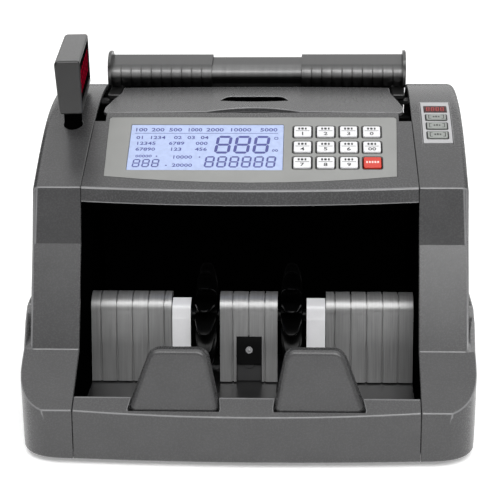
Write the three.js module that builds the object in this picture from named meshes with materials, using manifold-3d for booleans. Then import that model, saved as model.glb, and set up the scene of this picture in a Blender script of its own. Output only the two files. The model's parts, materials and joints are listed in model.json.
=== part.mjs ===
// Banknote counting machine, modelled as separate sub-parts.
// Millimetres, +Z up, -Y is the operator's side, +X is the operator's right.
// The origin is under the middle of the bounding box, on the surface the feet stand on.
import * as THREE from "three";
import { mergeVertices } from "three/addons/utils/BufferGeometryUtils.js";
import Module from "manifold-3d";

const wasm = await Module();
wasm.setup();

// ---- Driving dimensions -------------------------------------------------------------------
const FRONT_Y = -6.4; // foremost point of the front cover
const REAR_Y = 240; // back of the side housings
const HALF_WIDTH = 145; // lower side bulge
const COLUMN_HALF = 141; // upper side housings
const SEAM_FRONT = 109; // half distance between the two side seams, at the front
const SEAM_REAR = 106.6; // and from the top of the keypad panel to the rear
const FOOT_HEIGHT = 4;
const WALL = 2.5; // moulded shell thickness
const GAP = 0.3; // clearance between neighbouring pieces

// Side outline, each point as [y, z] at the seam
const LIP_BOTTOM = [-2.7, FOOT_HEIGHT];
const LIP_CREASE = [0, 36];
const COLUMN_FOOT = [41, 60.5];
const COLUMN_BEND = [69, 123];
const NOSE = [78.2, 158.3];
const PANEL_TOP = [141, 189.6];
const ROOF_END = [204, 197];
const LIP_BOW = 3.7; // how far the lip bulges forward at the middle
const NOSE_BOW = 2.8;
const NOSE_HEIGHT = 9.3;

const BAY_FLOOR_Z = 18.5;
const TRENCH_FRONT_Y = 11;

const IMPELLER = { y: 112, z: 58, radius: 36, hub: 11, width: 15, fins: 14 };
const IMPELLER_X = [-31, 26.9];
const FEED = { y: 219, z: 170 };
const MOTOR = { y: 185, z: 38 };
const SHAFT_R = 4;
const MOTOR_SHAFT_R = 3;
const PULLEY_X = -120; // middle of the belt run
const BELT_WIDTH = 6;
const BELT_THICKNESS = 1.5;
const PULLEY_R = { motor: 8, impeller: 24, feed: 12 };

const LID_HINGE = { y: 200, z: 187 };
const LID_PIN_R = 2.5;
const PADDLE_TILT = THREE.MathUtils.degToRad(8);
const KEY = { width: 12, height: 11, pitchX: 15.25, pitchY: 15.4, firstX: 33.8, topY: 54.5 };
const SIDE_PAD = { x: 123.1, width: 19.2, fromY: 115.8, toY: 164 };
const SIDE_KEY = { width: 13.2, length: 6.9, atY: [142, 132.3, 123] };
const SIDE_LED = { width: 15, length: 9.4, atY: 153.4 };
const DISPLAY = { near: [-117.7, 100], yaw: 4.9, length: 96, thickness: 16.8, bottom: 201, height: 35 };
const DISPLAY_LEAN = 1.4; // how far the bottom edge stands to the right of the top
const DISPLAY_DRAFT = 0.75; // and how much narrower it is on each side
const DISPLAY_NECK = { along: 35, radius: 6 };
const FRAME_X = 110;
const FRAME_THICKNESS = 2;

// ---- Geometry helpers ---------------------------------------------------------------------
function solid(geometry) {
  const bare = geometry.clone();
  bare.deleteAttribute("normal");
  bare.deleteAttribute("uv");
  const merged = mergeVertices(bare, 1e-4);
  return new wasm.Manifold(new wasm.Mesh({
    numProp: 3,
    vertProperties: new Float32Array(merged.attributes.position.array),
    triVerts: new Uint32Array(merged.index.array),
  }));
}

function geometryOf(manifold) {
  const { vertProperties, triVerts } = manifold.getMesh();
  const geometry = new THREE.BufferGeometry();
  geometry.setAttribute("position", new THREE.BufferAttribute(vertProperties, 3));
  geometry.setIndex(new THREE.BufferAttribute(triVerts, 1));
  geometry.computeVertexNormals();
  return geometry;
}

function shapeOf(outline) {
  return new THREE.Shape(outline.map(([a, b]) => new THREE.Vector2(a, b)));
}

function extrusion(shape, depth, curveSegments = 8) {
  return new THREE.ExtrudeGeometry(shape, { depth, bevelEnabled: false, curveSegments });
}

// Prisms: a [y, z] outline along X, an [x, z] outline along Y, an [x, y] outline along Z
function prismX(shape, x0, x1) {
  const m = new THREE.Matrix4().set(0, 0, 1, x0, 1, 0, 0, 0, 0, 1, 0, 0, 0, 0, 0, 1);
  return solid(extrusion(shape, x1 - x0).applyMatrix4(m));
}

function prismY(shape, y0, y1) {
  const m = new THREE.Matrix4().set(1, 0, 0, 0, 0, 0, -1, y1, 0, 1, 0, 0, 0, 0, 0, 1);
  return solid(extrusion(shape, y1 - y0).applyMatrix4(m));
}

function prismZ(shape, z0, z1) {
  return solid(extrusion(shape, z1 - z0).translate(0, 0, z0));
}

function box(x0, x1, y0, y1, z0, z1) {
  const geometry = new THREE.BoxGeometry(x1 - x0, y1 - y0, z1 - z0);
  return solid(geometry.translate((x0 + x1) / 2, (y0 + y1) / 2, (z0 + z1) / 2));
}

// Round bar along X
function barX(radius, x0, x1, y, z, sides = 24) {
  const geometry = new THREE.CylinderGeometry(radius, radius, x1 - x0, sides);
  geometry.rotateZ(Math.PI / 2);
  return solid(geometry.translate((x0 + x1) / 2, y, z));
}

// Body of revolution about the X direction, from [radius, x] points that close on themselves
function turnedX(profile, y, z, sides = 24) {
  const closed = [...profile, profile[0]].map(([r, x]) => new THREE.Vector2(r, x));
  const geometry = new THREE.LatheGeometry(closed, sides);
  geometry.rotateZ(-Math.PI / 2);
  return solid(geometry.translate(0, y, z));
}

function roundedRect(width, height, radius, x = 0, y = 0, steps = 3) {
  const [w, h] = [width / 2 - radius, height / 2 - radius];
  return shapeOf([
    ...arcPoints(x + w, y - h, radius, -90, 0, steps),
    ...arcPoints(x + w, y + h, radius, 0, 90, steps),
    ...arcPoints(x - w, y + h, radius, 90, 180, steps),
    ...arcPoints(x - w, y - h, radius, 180, 270, steps),
  ]);
}

// Closed body from [y, z] sections at successive x stations; every section has as many points
function loftX(stations, sectionAt) {
  const sections = stations.map((x) => {
    const points = sectionAt(x).map(([y, z]) => new THREE.Vector2(y, z));
    return THREE.ShapeUtils.isClockWise(points) ? points.reverse() : points;
  });
  const count = sections[0].length;
  const positions = sections.flatMap((points, s) => points.flatMap((p) => [stations[s], p.x, p.y]));
  const index = [];
  for (let s = 0; s + 1 < stations.length; s++) {
    for (let i = 0; i < count; i++) {
      const a = s * count + i;
      const b = s * count + ((i + 1) % count);
      index.push(a, b, b + count, a, b + count, a + count);
    }
  }
  const last = (stations.length - 1) * count;
  for (const [a, b, c] of THREE.ShapeUtils.triangulateShape(sections[0], [])) index.push(c, b, a);
  for (const [a, b, c] of THREE.ShapeUtils.triangulateShape(sections.at(-1), [])) {
    index.push(last + a, last + b, last + c);
  }
  const geometry = new THREE.BufferGeometry();
  geometry.setAttribute("position", new THREE.Float32BufferAttribute(positions, 3));
  geometry.setIndex(index);
  return solid(geometry);
}

// Open polyline moved sideways; positive distances go to the left of its direction
function offsetLine(points, distance) {
  return points.map(([y, z], i) => {
    const before = points[Math.max(i - 1, 0)];
    const after = points[Math.min(i + 1, points.length - 1)];
    const into = new THREE.Vector2(y - before[0], z - before[1]).normalize();
    const out = new THREE.Vector2(after[0] - y, after[1] - z).normalize();
    const along = into.add(out).normalize();
    const cosine = Math.max(along.dot(out.lengthSq() > 0 ? out : along), 0.5);
    return [y - (along.y * distance) / cosine, z + (along.x * distance) / cosine];
  });
}

// Sheet of one thickness that follows a polyline, as a closed outline
function sheetOutline(points, thickness, lift = 0) {
  return [...offsetLine(points, lift), ...offsetLine(points, lift - thickness).reverse()];
}

function spaced(from, to, steps) {
  return Array.from({ length: steps + 1 }, (_, i) => from + ((to - from) * i) / steps);
}

function arcPoints(y, z, radius, fromDeg, toDeg, steps) {
  return spaced(fromDeg, toDeg, steps).map((deg) => {
    const a = THREE.MathUtils.degToRad(deg);
    return [y + radius * Math.cos(a), z + radius * Math.sin(a)];
  });
}

// ---- Scene graph --------------------------------------------------------------------------
const machine = new THREE.Group();
machine.position.y = -(FRONT_Y + REAR_Y) / 2;

function finish(color, roughness, metalness = 0) {
  return { color, roughness, metalness };
}

const FINISH = {
  body: finish(0x68686b, 0.5),
  dark: finish(0x111113, 0.45),
  overlay: finish(0xaaaca8, 0.4),
  lcd: finish(0xc4ccf4, 0.15),
  key: finish(0xe9e9e6, 0.4),
  redKey: finish(0xcf2f22, 0.4),
  greyKey: finish(0x8f918e, 0.45),
  redWindow: finish(0x3a0508, 0.15),
  steel: finish(0xb8b8ba, 0.3, 1),
  strip: finish(0xd2d2d2, 0.4),
  rubber: finish(0x1c1c1d, 0.8),
  board: finish(0x1f5b34, 0.5),
};

function add(name, shape, look, parent = machine) {
  const geometry = shape.isBufferGeometry ? shape : geometryOf(shape);
  const mesh = new THREE.Mesh(geometry, new THREE.MeshStandardMaterial(look));
  mesh.name = name;
  parent.add(mesh);
  return mesh;
}

// ---- Side housings ------------------------------------------------------------------------
const roof = new THREE.CubicBezierCurve(
  new THREE.Vector2(...NOSE),
  new THREE.Vector2(130.2, 187.4),
  new THREE.Vector2(152, ROOF_END[1]),
  new THREE.Vector2(...ROOF_END),
);

// Point and slope of the roof line above a given y
function roofAt(y) {
  let [low, high] = [0, 1];
  for (let i = 0; i < 30; i++) {
    const middle = (low + high) / 2;
    if (roof.getPoint(middle).x < y) low = middle;
    else high = middle;
  }
  const tangent = roof.getTangent(low);
  return { z: roof.getPoint(low).y, slope: Math.atan2(tangent.y, tangent.x) };
}

const COLUMN_LINE = [
  COLUMN_FOOT, COLUMN_BEND, ...roof.getPoints(10).map((p) => [p.x, p.y]),
  [214, 196.2], [224, 192.5], [232, 185], [236.5, 175], [238, 164], [238, 30],
];

// The column's outline drawn in by a distance, in front less than on the roof
function columnSection(x, roundTop, roundFront, inset = 0) {
  const edge = COLUMN_HALF - inset;
  const drawIn = (radius) => {
    const t = Math.min(Math.max((x - (edge - radius)) / radius, 0), 1);
    return inset + radius * (1 - Math.sqrt(1 - t * t));
  };
  const front = offsetLine(COLUMN_LINE, -drawIn(roundFront));
  const top = offsetLine(COLUMN_LINE, -drawIn(roundTop));
  return [[52, 30 + inset], ...front.slice(0, 2), ...top.slice(2)];
}

// Plan line of the rounded front corner: how far the wall has fallen back at x
function cornerSetback(x) {
  const t = Math.min(Math.max((x - SEAM_FRONT) / (HALF_WIDTH - SEAM_FRONT), 0), 1);
  return 38 * (1 - (1 - t ** 2.7) ** (1 / 2.7));
}

const LOWER_LINE = [
  LIP_BOTTOM, LIP_CREASE, COLUMN_FOOT, [54.5, 81.5], [57.2, 85.6], [62, 87.6],
  [REAR_Y - 6, 96], [REAR_Y - 2, 94], [REAR_Y, 90], [REAR_Y, FOOT_HEIGHT],
];

function lowerBody(inset) {
  const floor = inset > 0 ? -10 : 0;
  const side = [...offsetLine(LOWER_LINE, -inset)];
  side[0] = [side[0][0], LIP_BOTTOM[1] + floor];
  side[side.length - 1] = [side.at(-1)[0], FOOT_HEIGHT + floor];
  const edge = HALF_WIDTH - inset;
  const inboard = SEAM_FRONT - 12;
  const front = spaced(0, 1, 14).map((t) => {
    const x = SEAM_FRONT - 9 + (edge - SEAM_FRONT + 9) * Math.sin((t * Math.PI) / 2);
    return [x, LIP_BOTTOM[0] - 0.01 + cornerSetback(x + inset) + inset * 1.15];
  });
  const plan = shapeOf([[inboard, front[0][1]], ...front, [edge, REAR_Y], [inboard, REAR_Y]]);
  const face = shapeOf([
    [inboard, floor], [142.5 - inset, floor], [143.6 - inset, 8], [144.6 - inset, 24],
    [edge, 46], [144.8 - inset, 76], [144.2 - inset, 84], [142.6 - inset, 89], [141.2 - inset, 98],
    [inboard, 98],
  ]);
  return prismX(shapeOf(side), inboard, edge)
    .intersect(prismZ(plan, -8, 100))
    .intersect(prismY(face, -20, REAR_Y));
}

function columnBody(inset) {
  const [roundTop, roundFront] = inset > 0 ? [3.6, 1] : [5.5, 1.8];
  const edge = COLUMN_HALF - inset;
  const bend = [0.35, 0.6, 0.8, 0.93, 1].map((t) => edge - roundTop + roundTop * t);
  return loftX([SEAM_REAR - 8, edge - roundTop, ...bend],
    (x) => columnSection(x, roundTop, roundFront, inset));
}

// Everything inboard of the seam, which tapers towards the rear
const seamPlan = shapeOf([
  [SEAM_FRONT, -20], [SEAM_FRONT, NOSE[0]], [SEAM_REAR, PANEL_TOP[0]], [SEAM_REAR, REAR_Y + 20],
  [160, REAR_Y + 20], [160, -20],
]);

function rightHousing() {
  const outer = columnBody(0).add(lowerBody(0));
  const inner = columnBody(WALL).add(lowerBody(WALL));
  return outer.subtract(inner).intersect(prismZ(seamPlan, -20, 260));
}

function mirroredX(manifold) {
  const geometry = geometryOf(manifold).applyMatrix4(new THREE.Matrix4().makeScale(-1, 1, 1));
  const index = geometry.index.array;
  for (let i = 0; i < index.length; i += 3) [index[i], index[i + 1]] = [index[i + 1], index[i]];
  return solid(geometry);
}

// A block that lies on the roof of the right housing, centred above the point at y
function onRoof(geometry, y) {
  const { z, slope } = roofAt(y);
  return geometry.rotateX(slope).translate(SIDE_PAD.x, y, z);
}

function roofStrip(thickness, lift, margin) {
  const line = spaced(SIDE_PAD.fromY - margin, SIDE_PAD.toY + margin, 8).map((y) => [y, roofAt(y).z]);
  const half = SIDE_PAD.width / 2 + margin;
  return prismX(shapeOf(sheetOutline(line, thickness, lift)), SIDE_PAD.x - half, SIDE_PAD.x + half);
}

function roofBlock(width, length, low, high, y) {
  const geometry = new THREE.BoxGeometry(width, length, high - low);
  return solid(onRoof(geometry.translate(0, 0, (low + high) / 2), y));
}

function buildSideHousings() {
  const plain = rightHousing();
  let right = plain.subtract(roofStrip(3, 1.9, GAP));
  for (const y of SIDE_KEY.atY) {
    right = right.subtract(roofBlock(SIDE_KEY.width + 0.8, SIDE_KEY.length + 0.8, -6, 4, y));
  }
  right = right.subtract(roofBlock(SIDE_LED.width + 0.6, SIDE_LED.length + 0.6, -6, 4, SIDE_LED.atY));
  add("right_side_housing", right, FINISH.body);

  const holeRadius = DISPLAY_NECK.radius + GAP;
  const neckHole = solid(new THREE.CylinderGeometry(holeRadius, holeRadius, 30, 24)
    .rotateX(Math.PI / 2).translate(displayAxis.x, displayAxis.y, 185));
  add("left_side_housing", mirroredX(plain).subtract(neckHole), FINISH.body);
}

function buildSideKeypad() {
  let plate = roofStrip(0.9, 0.1, 0);
  for (const y of SIDE_KEY.atY) {
    plate = plate.subtract(roofBlock(SIDE_KEY.width + 0.8, SIDE_KEY.length + 0.8, -6, 4, y));
  }
  plate = plate.subtract(roofBlock(SIDE_LED.width + 0.6, SIDE_LED.length + 0.6, -6, 4, SIDE_LED.atY));
  add("side_keypad", plate, FINISH.overlay);
  const pane = roofBlock(SIDE_LED.width, SIDE_LED.length, -2.6, 0.1, SIDE_LED.atY);
  add("side_led_window", pane, FINISH.redWindow);
  SIDE_KEY.atY.forEach((y, i) => {
    const cap = roofBlock(SIDE_KEY.width, SIDE_KEY.length, -3, 0.9, y);
    add(`side_key_${i + 1}`, cap, FINISH.greyKey);
  });
}

// ---- Front cover, keypad panel and rear cover -------------------------------------------------
function bow(x, amount) {
  return amount * (1 - (x / SEAM_FRONT) ** 2);
}

function buildFrontCover() {
  const slope = (COLUMN_FOOT[1] - LIP_CREASE[1]) / (COLUMN_FOOT[0] - LIP_CREASE[0]);
  const backZ = LIP_CREASE[1] + slope * 9;
  const half = SEAM_FRONT - GAP;
  let cover = loftX(spaced(-half, half, 16), (x) => {
    const b = bow(x, LIP_BOW);
    return [
      [LIP_BOTTOM[0] - b, LIP_BOTTOM[1]], [LIP_CREASE[0] - b, LIP_CREASE[1] - slope * b],
      [9, backZ], [10.4, backZ - 0.2], [TRENCH_FRONT_Y, backZ - 1.4],
      [TRENCH_FRONT_Y, BAY_FLOOR_Z], [100, BAY_FLOOR_Z], [100, BAY_FLOOR_Z - WALL],
      [TRENCH_FRONT_Y - WALL, BAY_FLOOR_Z - WALL], [TRENCH_FRONT_Y - WALL, backZ - 3],
      [LIP_CREASE[0] + 2.4 - b, LIP_CREASE[1] - 1.6 - slope * b], [LIP_BOTTOM[0] + WALL - b, LIP_BOTTOM[1]],
    ];
  });
  // Pockets that the note stops stand in, open to the trench behind the lip
  for (const outline of paddleOutlines(1.4)) {
    cover = cover.subtract(prismY(shapeOf(outline.map(([x, z]) => [x, Math.max(z, 22)])), 0.3, 11.4));
  }
  // Slots that let the impeller fins turn below the floor
  for (const x of IMPELLER_X) cover = cover.subtract(box(x - 9.5, x + 9.5, 70, 120, 10, 30));
  add("front_cover", cover, FINISH.body);
}

// The keypad panel's own plane: local X to the right, local Y up the slope, local Z out of it
const panelSlope = Math.atan2(PANEL_TOP[1] - NOSE[1], PANEL_TOP[0] - NOSE[0]);
const panel = new THREE.Group();
panel.position.set(0, ...NOSE);
panel.rotation.x = panelSlope;
machine.add(panel);

function panelPrism(shape, low, high) {
  return extrusion(shape, high - low).translate(0, 0, low);
}

function panelCutter(shape, low, high) {
  return solid(panelPrism(shape, low, high).rotateX(panelSlope).translate(0, ...NOSE));
}

const LCD = { x: -29.9, y: 39.4, width: 102, height: 45.2 };
const OVERLAY_HALF_TOP = 96.5;
const OVERLAY_HALF_LOW = 95;

function overlayShape(grow = 0) {
  const shape = new THREE.Shape();
  const [low, high] = [10.8 - grow, 69.6 + grow];
  const bottom = OVERLAY_HALF_LOW + grow;
  shape.moveTo(-bottom, low);
  shape.quadraticCurveTo(0, -1.4 - grow, bottom, low);
  shape.lineTo(OVERLAY_HALF_TOP + grow, high - 1.5);
  shape.lineTo(OVERLAY_HALF_TOP + grow - 1.5, high);
  shape.lineTo(-OVERLAY_HALF_TOP - grow + 1.5, high);
  shape.lineTo(-OVERLAY_HALF_TOP - grow, high - 1.5);
  return shape;
}

const keyCentres = [0, 1, 2].flatMap((row) => [0, 1, 2, 3].map((column) => [
  KEY.firstX + column * KEY.pitchX, KEY.topY - row * KEY.pitchY,
]));

function buildPanel() {
  const stations = spaced(-1, 1, 20);
  const tan = Math.tan(panelSlope);
  const lean = (COLUMN_BEND[0] - NOSE[0]) / (COLUMN_BEND[1] - NOSE[1]);
  let cover = loftX(stations.map((s) => s * (SEAM_REAR + 2)), (x) => {
    const b = bow(x, NOSE_BOW);
    const [y, z] = [NOSE[0] - b, NOSE[1] - b * tan];
    const foot = NOSE_HEIGHT + 0.15 * b;
    return [
      [y - lean * foot, z - foot], [y, z], PANEL_TOP, [146.5, 191.2], [146.5, 188], [141.6, 186.4],
      [y + 2.7, z - 1.2], [y - lean * foot + 2.6, z - foot],
    ];
  });
  // Ends cut along the tapering seams, with a notch beside the lid at each rear corner
  const taper = shapeOf([
    [-SEAM_FRONT + GAP, 40], [SEAM_FRONT - GAP, 40], [SEAM_FRONT - GAP, NOSE[0]],
    [SEAM_REAR - GAP + 0.1, 137], [98, 137], [98, 150], [-99, 150], [-99, 137],
    [-SEAM_REAR + GAP - 0.1, 137], [-SEAM_FRONT + GAP, NOSE[0]],
  ]);
  cover = cover.intersect(prismZ(taper, 100, 220));
  // Two ribs under the nose that guide the falling notes
  cover = cover.add(box(-101.5, -45, 88, 90, 140, 162.3)).add(box(46, 103, 88, 90, 140, 162.3));
  cover = cover.subtract(panelCutter(overlayShape(GAP), -1.2, 5));
  cover = cover.subtract(panelCutter(roundedRect(LCD.width + 0.6, LCD.height + 0.6, 1, LCD.x, LCD.y), -8, 5));
  let overlay = solid(panelPrism(overlayShape(), -0.9, 0.1));
  overlay = overlay.subtract(solid(panelPrism(
    roundedRect(LCD.width + 0.6, LCD.height + 0.6, 1, LCD.x, LCD.y), -8, 5)));
  for (const [x, y] of keyCentres) {
    const hole = () => roundedRect(KEY.width + 0.9, KEY.height + 0.9, 1.3, x, y);
    cover = cover.subtract(panelCutter(hole(), -8, 5));
    overlay = overlay.subtract(solid(panelPrism(hole(), -8, 5)));
  }
  add("control_panel_cover", cover, FINISH.body);
  add("panel_overlay", overlay, FINISH.overlay, panel);
  const glass = roundedRect(LCD.width, LCD.height, 0.8, LCD.x, LCD.y);
  add("lcd_module", panelPrism(glass, -4, 0), FINISH.lcd, panel);
  keyCentres.forEach(([x, y], i) => {
    const isStart = i === keyCentres.length - 1;
    const cap = panelPrism(roundedRect(KEY.width, KEY.height, 1, x, y), -3.2, 1);
    add(isStart ? "start_key" : `key_${i + 1}`, cap, isStart ? FINISH.redKey : FINISH.key, panel);
  });
}

const INLET = { x: 62, z: 34, width: 62, height: 30 };
const REAR_WALL = [235.5, 238];
const ROCKER_AXIS = { y: 230, z: 34 };
const VENT = { fromX: -78, toX: -6, count: 13, z: 52, width: 3, height: 46 };

function buildRear() {
  const half = SEAM_REAR - GAP;
  const [inside, outside] = REAR_WALL;
  let cover = prismX(shapeOf([
    [inside, 6.5], [outside, 6.5], [outside, 196.5], [228, 196.5], [228, 194], [inside, 194],
  ]), -half, half);
  for (const x of spaced(VENT.fromX, VENT.toX, VENT.count - 1)) {
    cover = cover.subtract(prismY(roundedRect(VENT.width, VENT.height, VENT.width / 2, x, VENT.z), 230, 245));
  }
  const hole = roundedRect(INLET.width - 8, INLET.height - 6, 2, INLET.x, INLET.z);
  cover = cover.subtract(prismY(hole, 230, 245));
  add("rear_cover", cover, FINISH.body);

  // Appliance inlet and rocker frame in one snap-in bezel
  const rim = roundedRect(INLET.width, INLET.height, 2.5, INLET.x, INLET.z);
  const bezel = prismY(rim, outside + GAP, REAR_Y);
  const core = prismY(roundedRect(INLET.width - 9, INLET.height - 7, 1.5, INLET.x, INLET.z), 216, 239);
  const socket = prismY(shapeOf([
    [43, 26], [69, 26], [69, 37], [64, 42], [48, 42], [43, 37],
  ]), 223, 245);
  const rockerWell = prismY(roundedRect(13.2, 20.6, 0.6, 79.5, INLET.z), 226, 245);
  add("power_inlet", bezel.add(core).subtract(socket).subtract(rockerWell), FINISH.dark);
  const rocker = [[-1.5, -8.5], [7.4, -9.5], [7, 0], [9.4, 8.2], [-0.5, 9]];
  const placed = rocker.map(([y, z]) => [ROCKER_AXIS.y + y, ROCKER_AXIS.z + z]);
  add("power_switch", prismX(shapeOf(placed), 73.4, 85.6), FINISH.dark);
}

// ---- Lid, hopper and note guides ----------------------------------------------------------
const HINGE_WEB = [[187, 192.6], [187, 189], [197, 184.5], [203, 184.5], [203, 190], [197, 193.4]];

function buildLid() {
  const plan = new THREE.Shape();
  plan.moveTo(-98.5, 147.4);
  plan.lineTo(-32, 147.4);
  plan.quadraticCurveTo(0, 163, 32, 147.4);
  plan.lineTo(97.5, 147.4);
  plan.quadraticCurveTo(101, 147.4, 101.2, 151);
  plan.lineTo(101.9, 158);
  plan.lineTo(94.4, 189.7);
  plan.lineTo(94, 203.5);
  plan.lineTo(-94, 203.5);
  plan.lineTo(-94.4, 189.7);
  plan.lineTo(-101.9, 158);
  plan.lineTo(-102, 151);
  plan.quadraticCurveTo(-101.8, 147.4, -98.5, 147.4);
  const crown = loftX([-104, -80, -40, 0, 40, 80, 104], (x) => {
    const drop = 0.9 * (x / 104) ** 2;
    return [
      [140, 191.2 - drop], [175, 194.9 - drop], [201.8, 196.8 - drop], [203.6, 195.9 - drop],
      [203.6, 193.4], [175, 191.4], [140, 188],
    ];
  });
  let lid = prismZ(plan, 150, 220).intersect(crown);
  // Finger slot behind the front handle bar
  const slot = new THREE.Shape();
  slot.moveTo(-23, 170);
  slot.quadraticCurveTo(-20.5, 179.6, -16, 179.6);
  slot.lineTo(16, 179.6);
  slot.quadraticCurveTo(20.5, 179.6, 23, 170);
  slot.quadraticCurveTo(0, 166, -23, 170);
  lid = lid.subtract(prismZ(slot, 180, 205));
  // Hinge webs and their trunnions
  for (const side of [-1, 1]) {
    const [a, b] = side < 0 ? [-93.5, -89] : [89, 93.5];
    const web = prismX(shapeOf(HINGE_WEB), a, b);
    const [c, d] = side < 0 ? [-111.6, -90] : [90, 111.6];
    lid = lid.add(web).add(barX(LID_PIN_R, c, d, LID_HINGE.y, LID_HINGE.z));
  }
  add("top_cover", lid, FINISH.body);
}

// Rolled bar that the notes lean on, as an open line from the throat, over the top, to the rear
const HOPPER_LINE = [
  [219, 186], [217, 196], ...arcPoints(217.8, 203, 5.6, 215, 100, 6),
  ...arcPoints(233.7, 207.7, 4, 100, 0, 3), [237.7, 197.2],
];
const GROOVED_POINTS = 7; // the ribs stop where the line turns on to the top
const GUIDE_INNER_X = 32;
const GUIDE_OUTER_X = 104.2;
const GUIDE_RIBS = 9;
const HINGE_COVER = { inner: 96, outer: 104.8, front: 192, top: 193.3 };

function guideStations() {
  const pitch = (GUIDE_OUTER_X - GUIDE_INNER_X) / (GUIDE_RIBS + 1);
  const stations = [GUIDE_INNER_X];
  for (let i = 1; i <= GUIDE_RIBS; i++) {
    const x = GUIDE_INNER_X + i * pitch;
    stations.push(x - 0.75, x - 0.45, x + 0.45, x + 0.75);
  }
  return [...stations, GUIDE_OUTER_X];
}

function buildHopper() {
  const half = SEAM_REAR - 0.9;
  let tray = prismX(shapeOf(sheetOutline(HOPPER_LINE, WALL)), -half, half);
  // Covers over the ends of the lid's hinge
  for (const side of [-1, 1]) {
    const { inner, outer, front, top } = HINGE_COVER;
    const [a, b] = side < 0 ? [-outer, -inner] : [inner, outer];
    tray = tray.add(box(a, b, front, 219, top - 3, top));
  }
  add("hopper_tray", tray, FINISH.body);

  const covered = HOPPER_LINE.slice(1, -3);
  const isGroove = (x) => {
    const pitch = (GUIDE_OUTER_X - GUIDE_INNER_X) / (GUIDE_RIBS + 1);
    const offset = Math.abs((((x - GUIDE_INNER_X) / pitch + 0.5) % 1) - 0.5) * pitch;
    return offset < 0.6 && x > GUIDE_INNER_X + 1 && x < GUIDE_OUTER_X - 1;
  };
  const outside = offsetLine(covered, 2);
  const grooved = offsetLine(covered, 1.2).map((point, i) => (i < GROOVED_POINTS ? point : outside[i]));
  const sleeve = loftX(guideStations(), (x) => [
    ...(isGroove(x) ? grooved : outside), ...offsetLine(covered, GAP + 0.1).reverse(),
  ]);
  const fin = prismX(shapeOf([
    [207.2, 197], [211, 194.2], [216, 194.2], ...offsetLine(covered, 0.4).slice(1, -1),
    [233.6, 213.6], [231, 216.6], [225, 218.4], [216, 218.2], [209.5, 214], [206.8, 207],
  ]), GUIDE_OUTER_X - 0.2, SEAM_REAR - 0.5);
  const right = sleeve.add(fin);
  add("right_note_guide", right, FINISH.body);
  add("left_note_guide", mirroredX(right), FINISH.body);
}

// ---- Stacker bay --------------------------------------------------------------------------
const ROLL = { y: 106.5, z: 65, radius: 11.5 };

function plateSection(inset) {
  const line = (depth) => [
    [86 + depth, 19.4], [94.9 + depth, 63.5],
    ...arcPoints(ROLL.y, ROLL.z, ROLL.radius - depth, 176, 46, 7),
  ];
  return [...line(inset), ...line(3.2).reverse()];
}

function stackerPlate(x0, x1, grooves) {
  const stations = [x0];
  for (const x of grooves) stations.push(x - 0.75, x - 0.5, x + 0.5, x + 0.75);
  stations.push(x1);
  return loftX(stations, (x) => plateSection(grooves.some((g) => Math.abs(g - x) < 0.6) ? 1.3 : 0));
}

function grooveRow(first, pitch, count) {
  return Array.from({ length: count }, (_, i) => first + i * pitch);
}

const SENSOR = { x: -1.7, halfWidth: 8.2, bottom: 31.2, top: 49.5 };

function paddleOutlines(grow) {
  const left = [
    [-72.6, 38], [-71.4, 35.6], [-68, 34.2], [-21, 34.2], [-18.4, 35.8], [-17.8, 38.5],
    [-23.2, 66], [-25.6, 72], [-30.8, 75.2], [-53.6, 75.2], [-59.4, 72], [-62.2, 66.5],
  ];
  const centre = [-45, 52];
  const away = (value, from) => value + Math.sign(value - from) * grow;
  const grown = left.map(([x, z]) => [away(x, centre[0]), away(z, centre[1])]);
  return [grown, grown.map(([x, z]) => [-x + 0.6, z])];
}

function buildBay() {
  add("stacker_plate_left", stackerPlate(-108.4, -54, grooveRow(-101.8, 10.7, 5)), FINISH.body);
  add("stacker_plate_right", stackerPlate(50, 108.4, grooveRow(55.9, 10.65, 5)), FINISH.body);
  const room = SENSOR.halfWidth + 0.4;
  const notch = box(SENSOR.x - room, SENSOR.x + room, 80, 100, 10, SENSOR.top + 0.4);
  const centre = stackerPlate(-21.3, 17.4, grooveRow(-12.7, 10.75, 3));
  add("stacker_plate_centre", centre.subtract(notch), FINISH.body);

  const stripLine = [[85.2, 23], [94, 68.6], [95, 70.2], [104, 73.4]];
  const strip = shapeOf(sheetOutline(stripLine, 1.1));
  add("guide_strip_left", prismX(strip, -53.4, -41), FINISH.strip);
  add("guide_strip_right", prismX(strip, 37, 49.5), FINISH.strip);

  const [a, b] = [SENSOR.x - SENSOR.halfWidth, SENSOR.x + SENSOR.halfWidth];
  const { bottom, top } = SENSOR;
  const head = prismX(shapeOf([[88.8, bottom], [92.5, top], [99, top], [99, bottom]]), a, b);
  const foot = prismX(shapeOf([[88.6, 19.2], [91, bottom + 1], [95, bottom + 1], [95, 19.2]]), a, b);
  add("sensor_block", head.add(foot), FINISH.dark);

  paddleOutlines(0).forEach((outline, i) => {
    const pivotZ = 36;
    const slab = extrusion(shapeOf(outline.map(([x, z]) => [x, z - pivotZ])), 9);
    slab.rotateX(Math.PI / 2).translate(0, 9, 0).rotateX(-PADDLE_TILT).translate(0, 1, pivotZ);
    const lug = box(i ? 32 : -58, i ? 58 : -32, 2, 4.2, 29.5, 38);
    add(i ? "stop_paddle_right" : "stop_paddle_left", solid(slab).add(lug), FINISH.body);
  });

  const chute = [[152, 12], [152, 148], [147, 164], [140, 176]];
  const half = SEAM_REAR - 0.6;
  add("chute_plate", prismX(shapeOf(sheetOutline(chute, 2)), -half, half), FINISH.dark);
}

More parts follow.
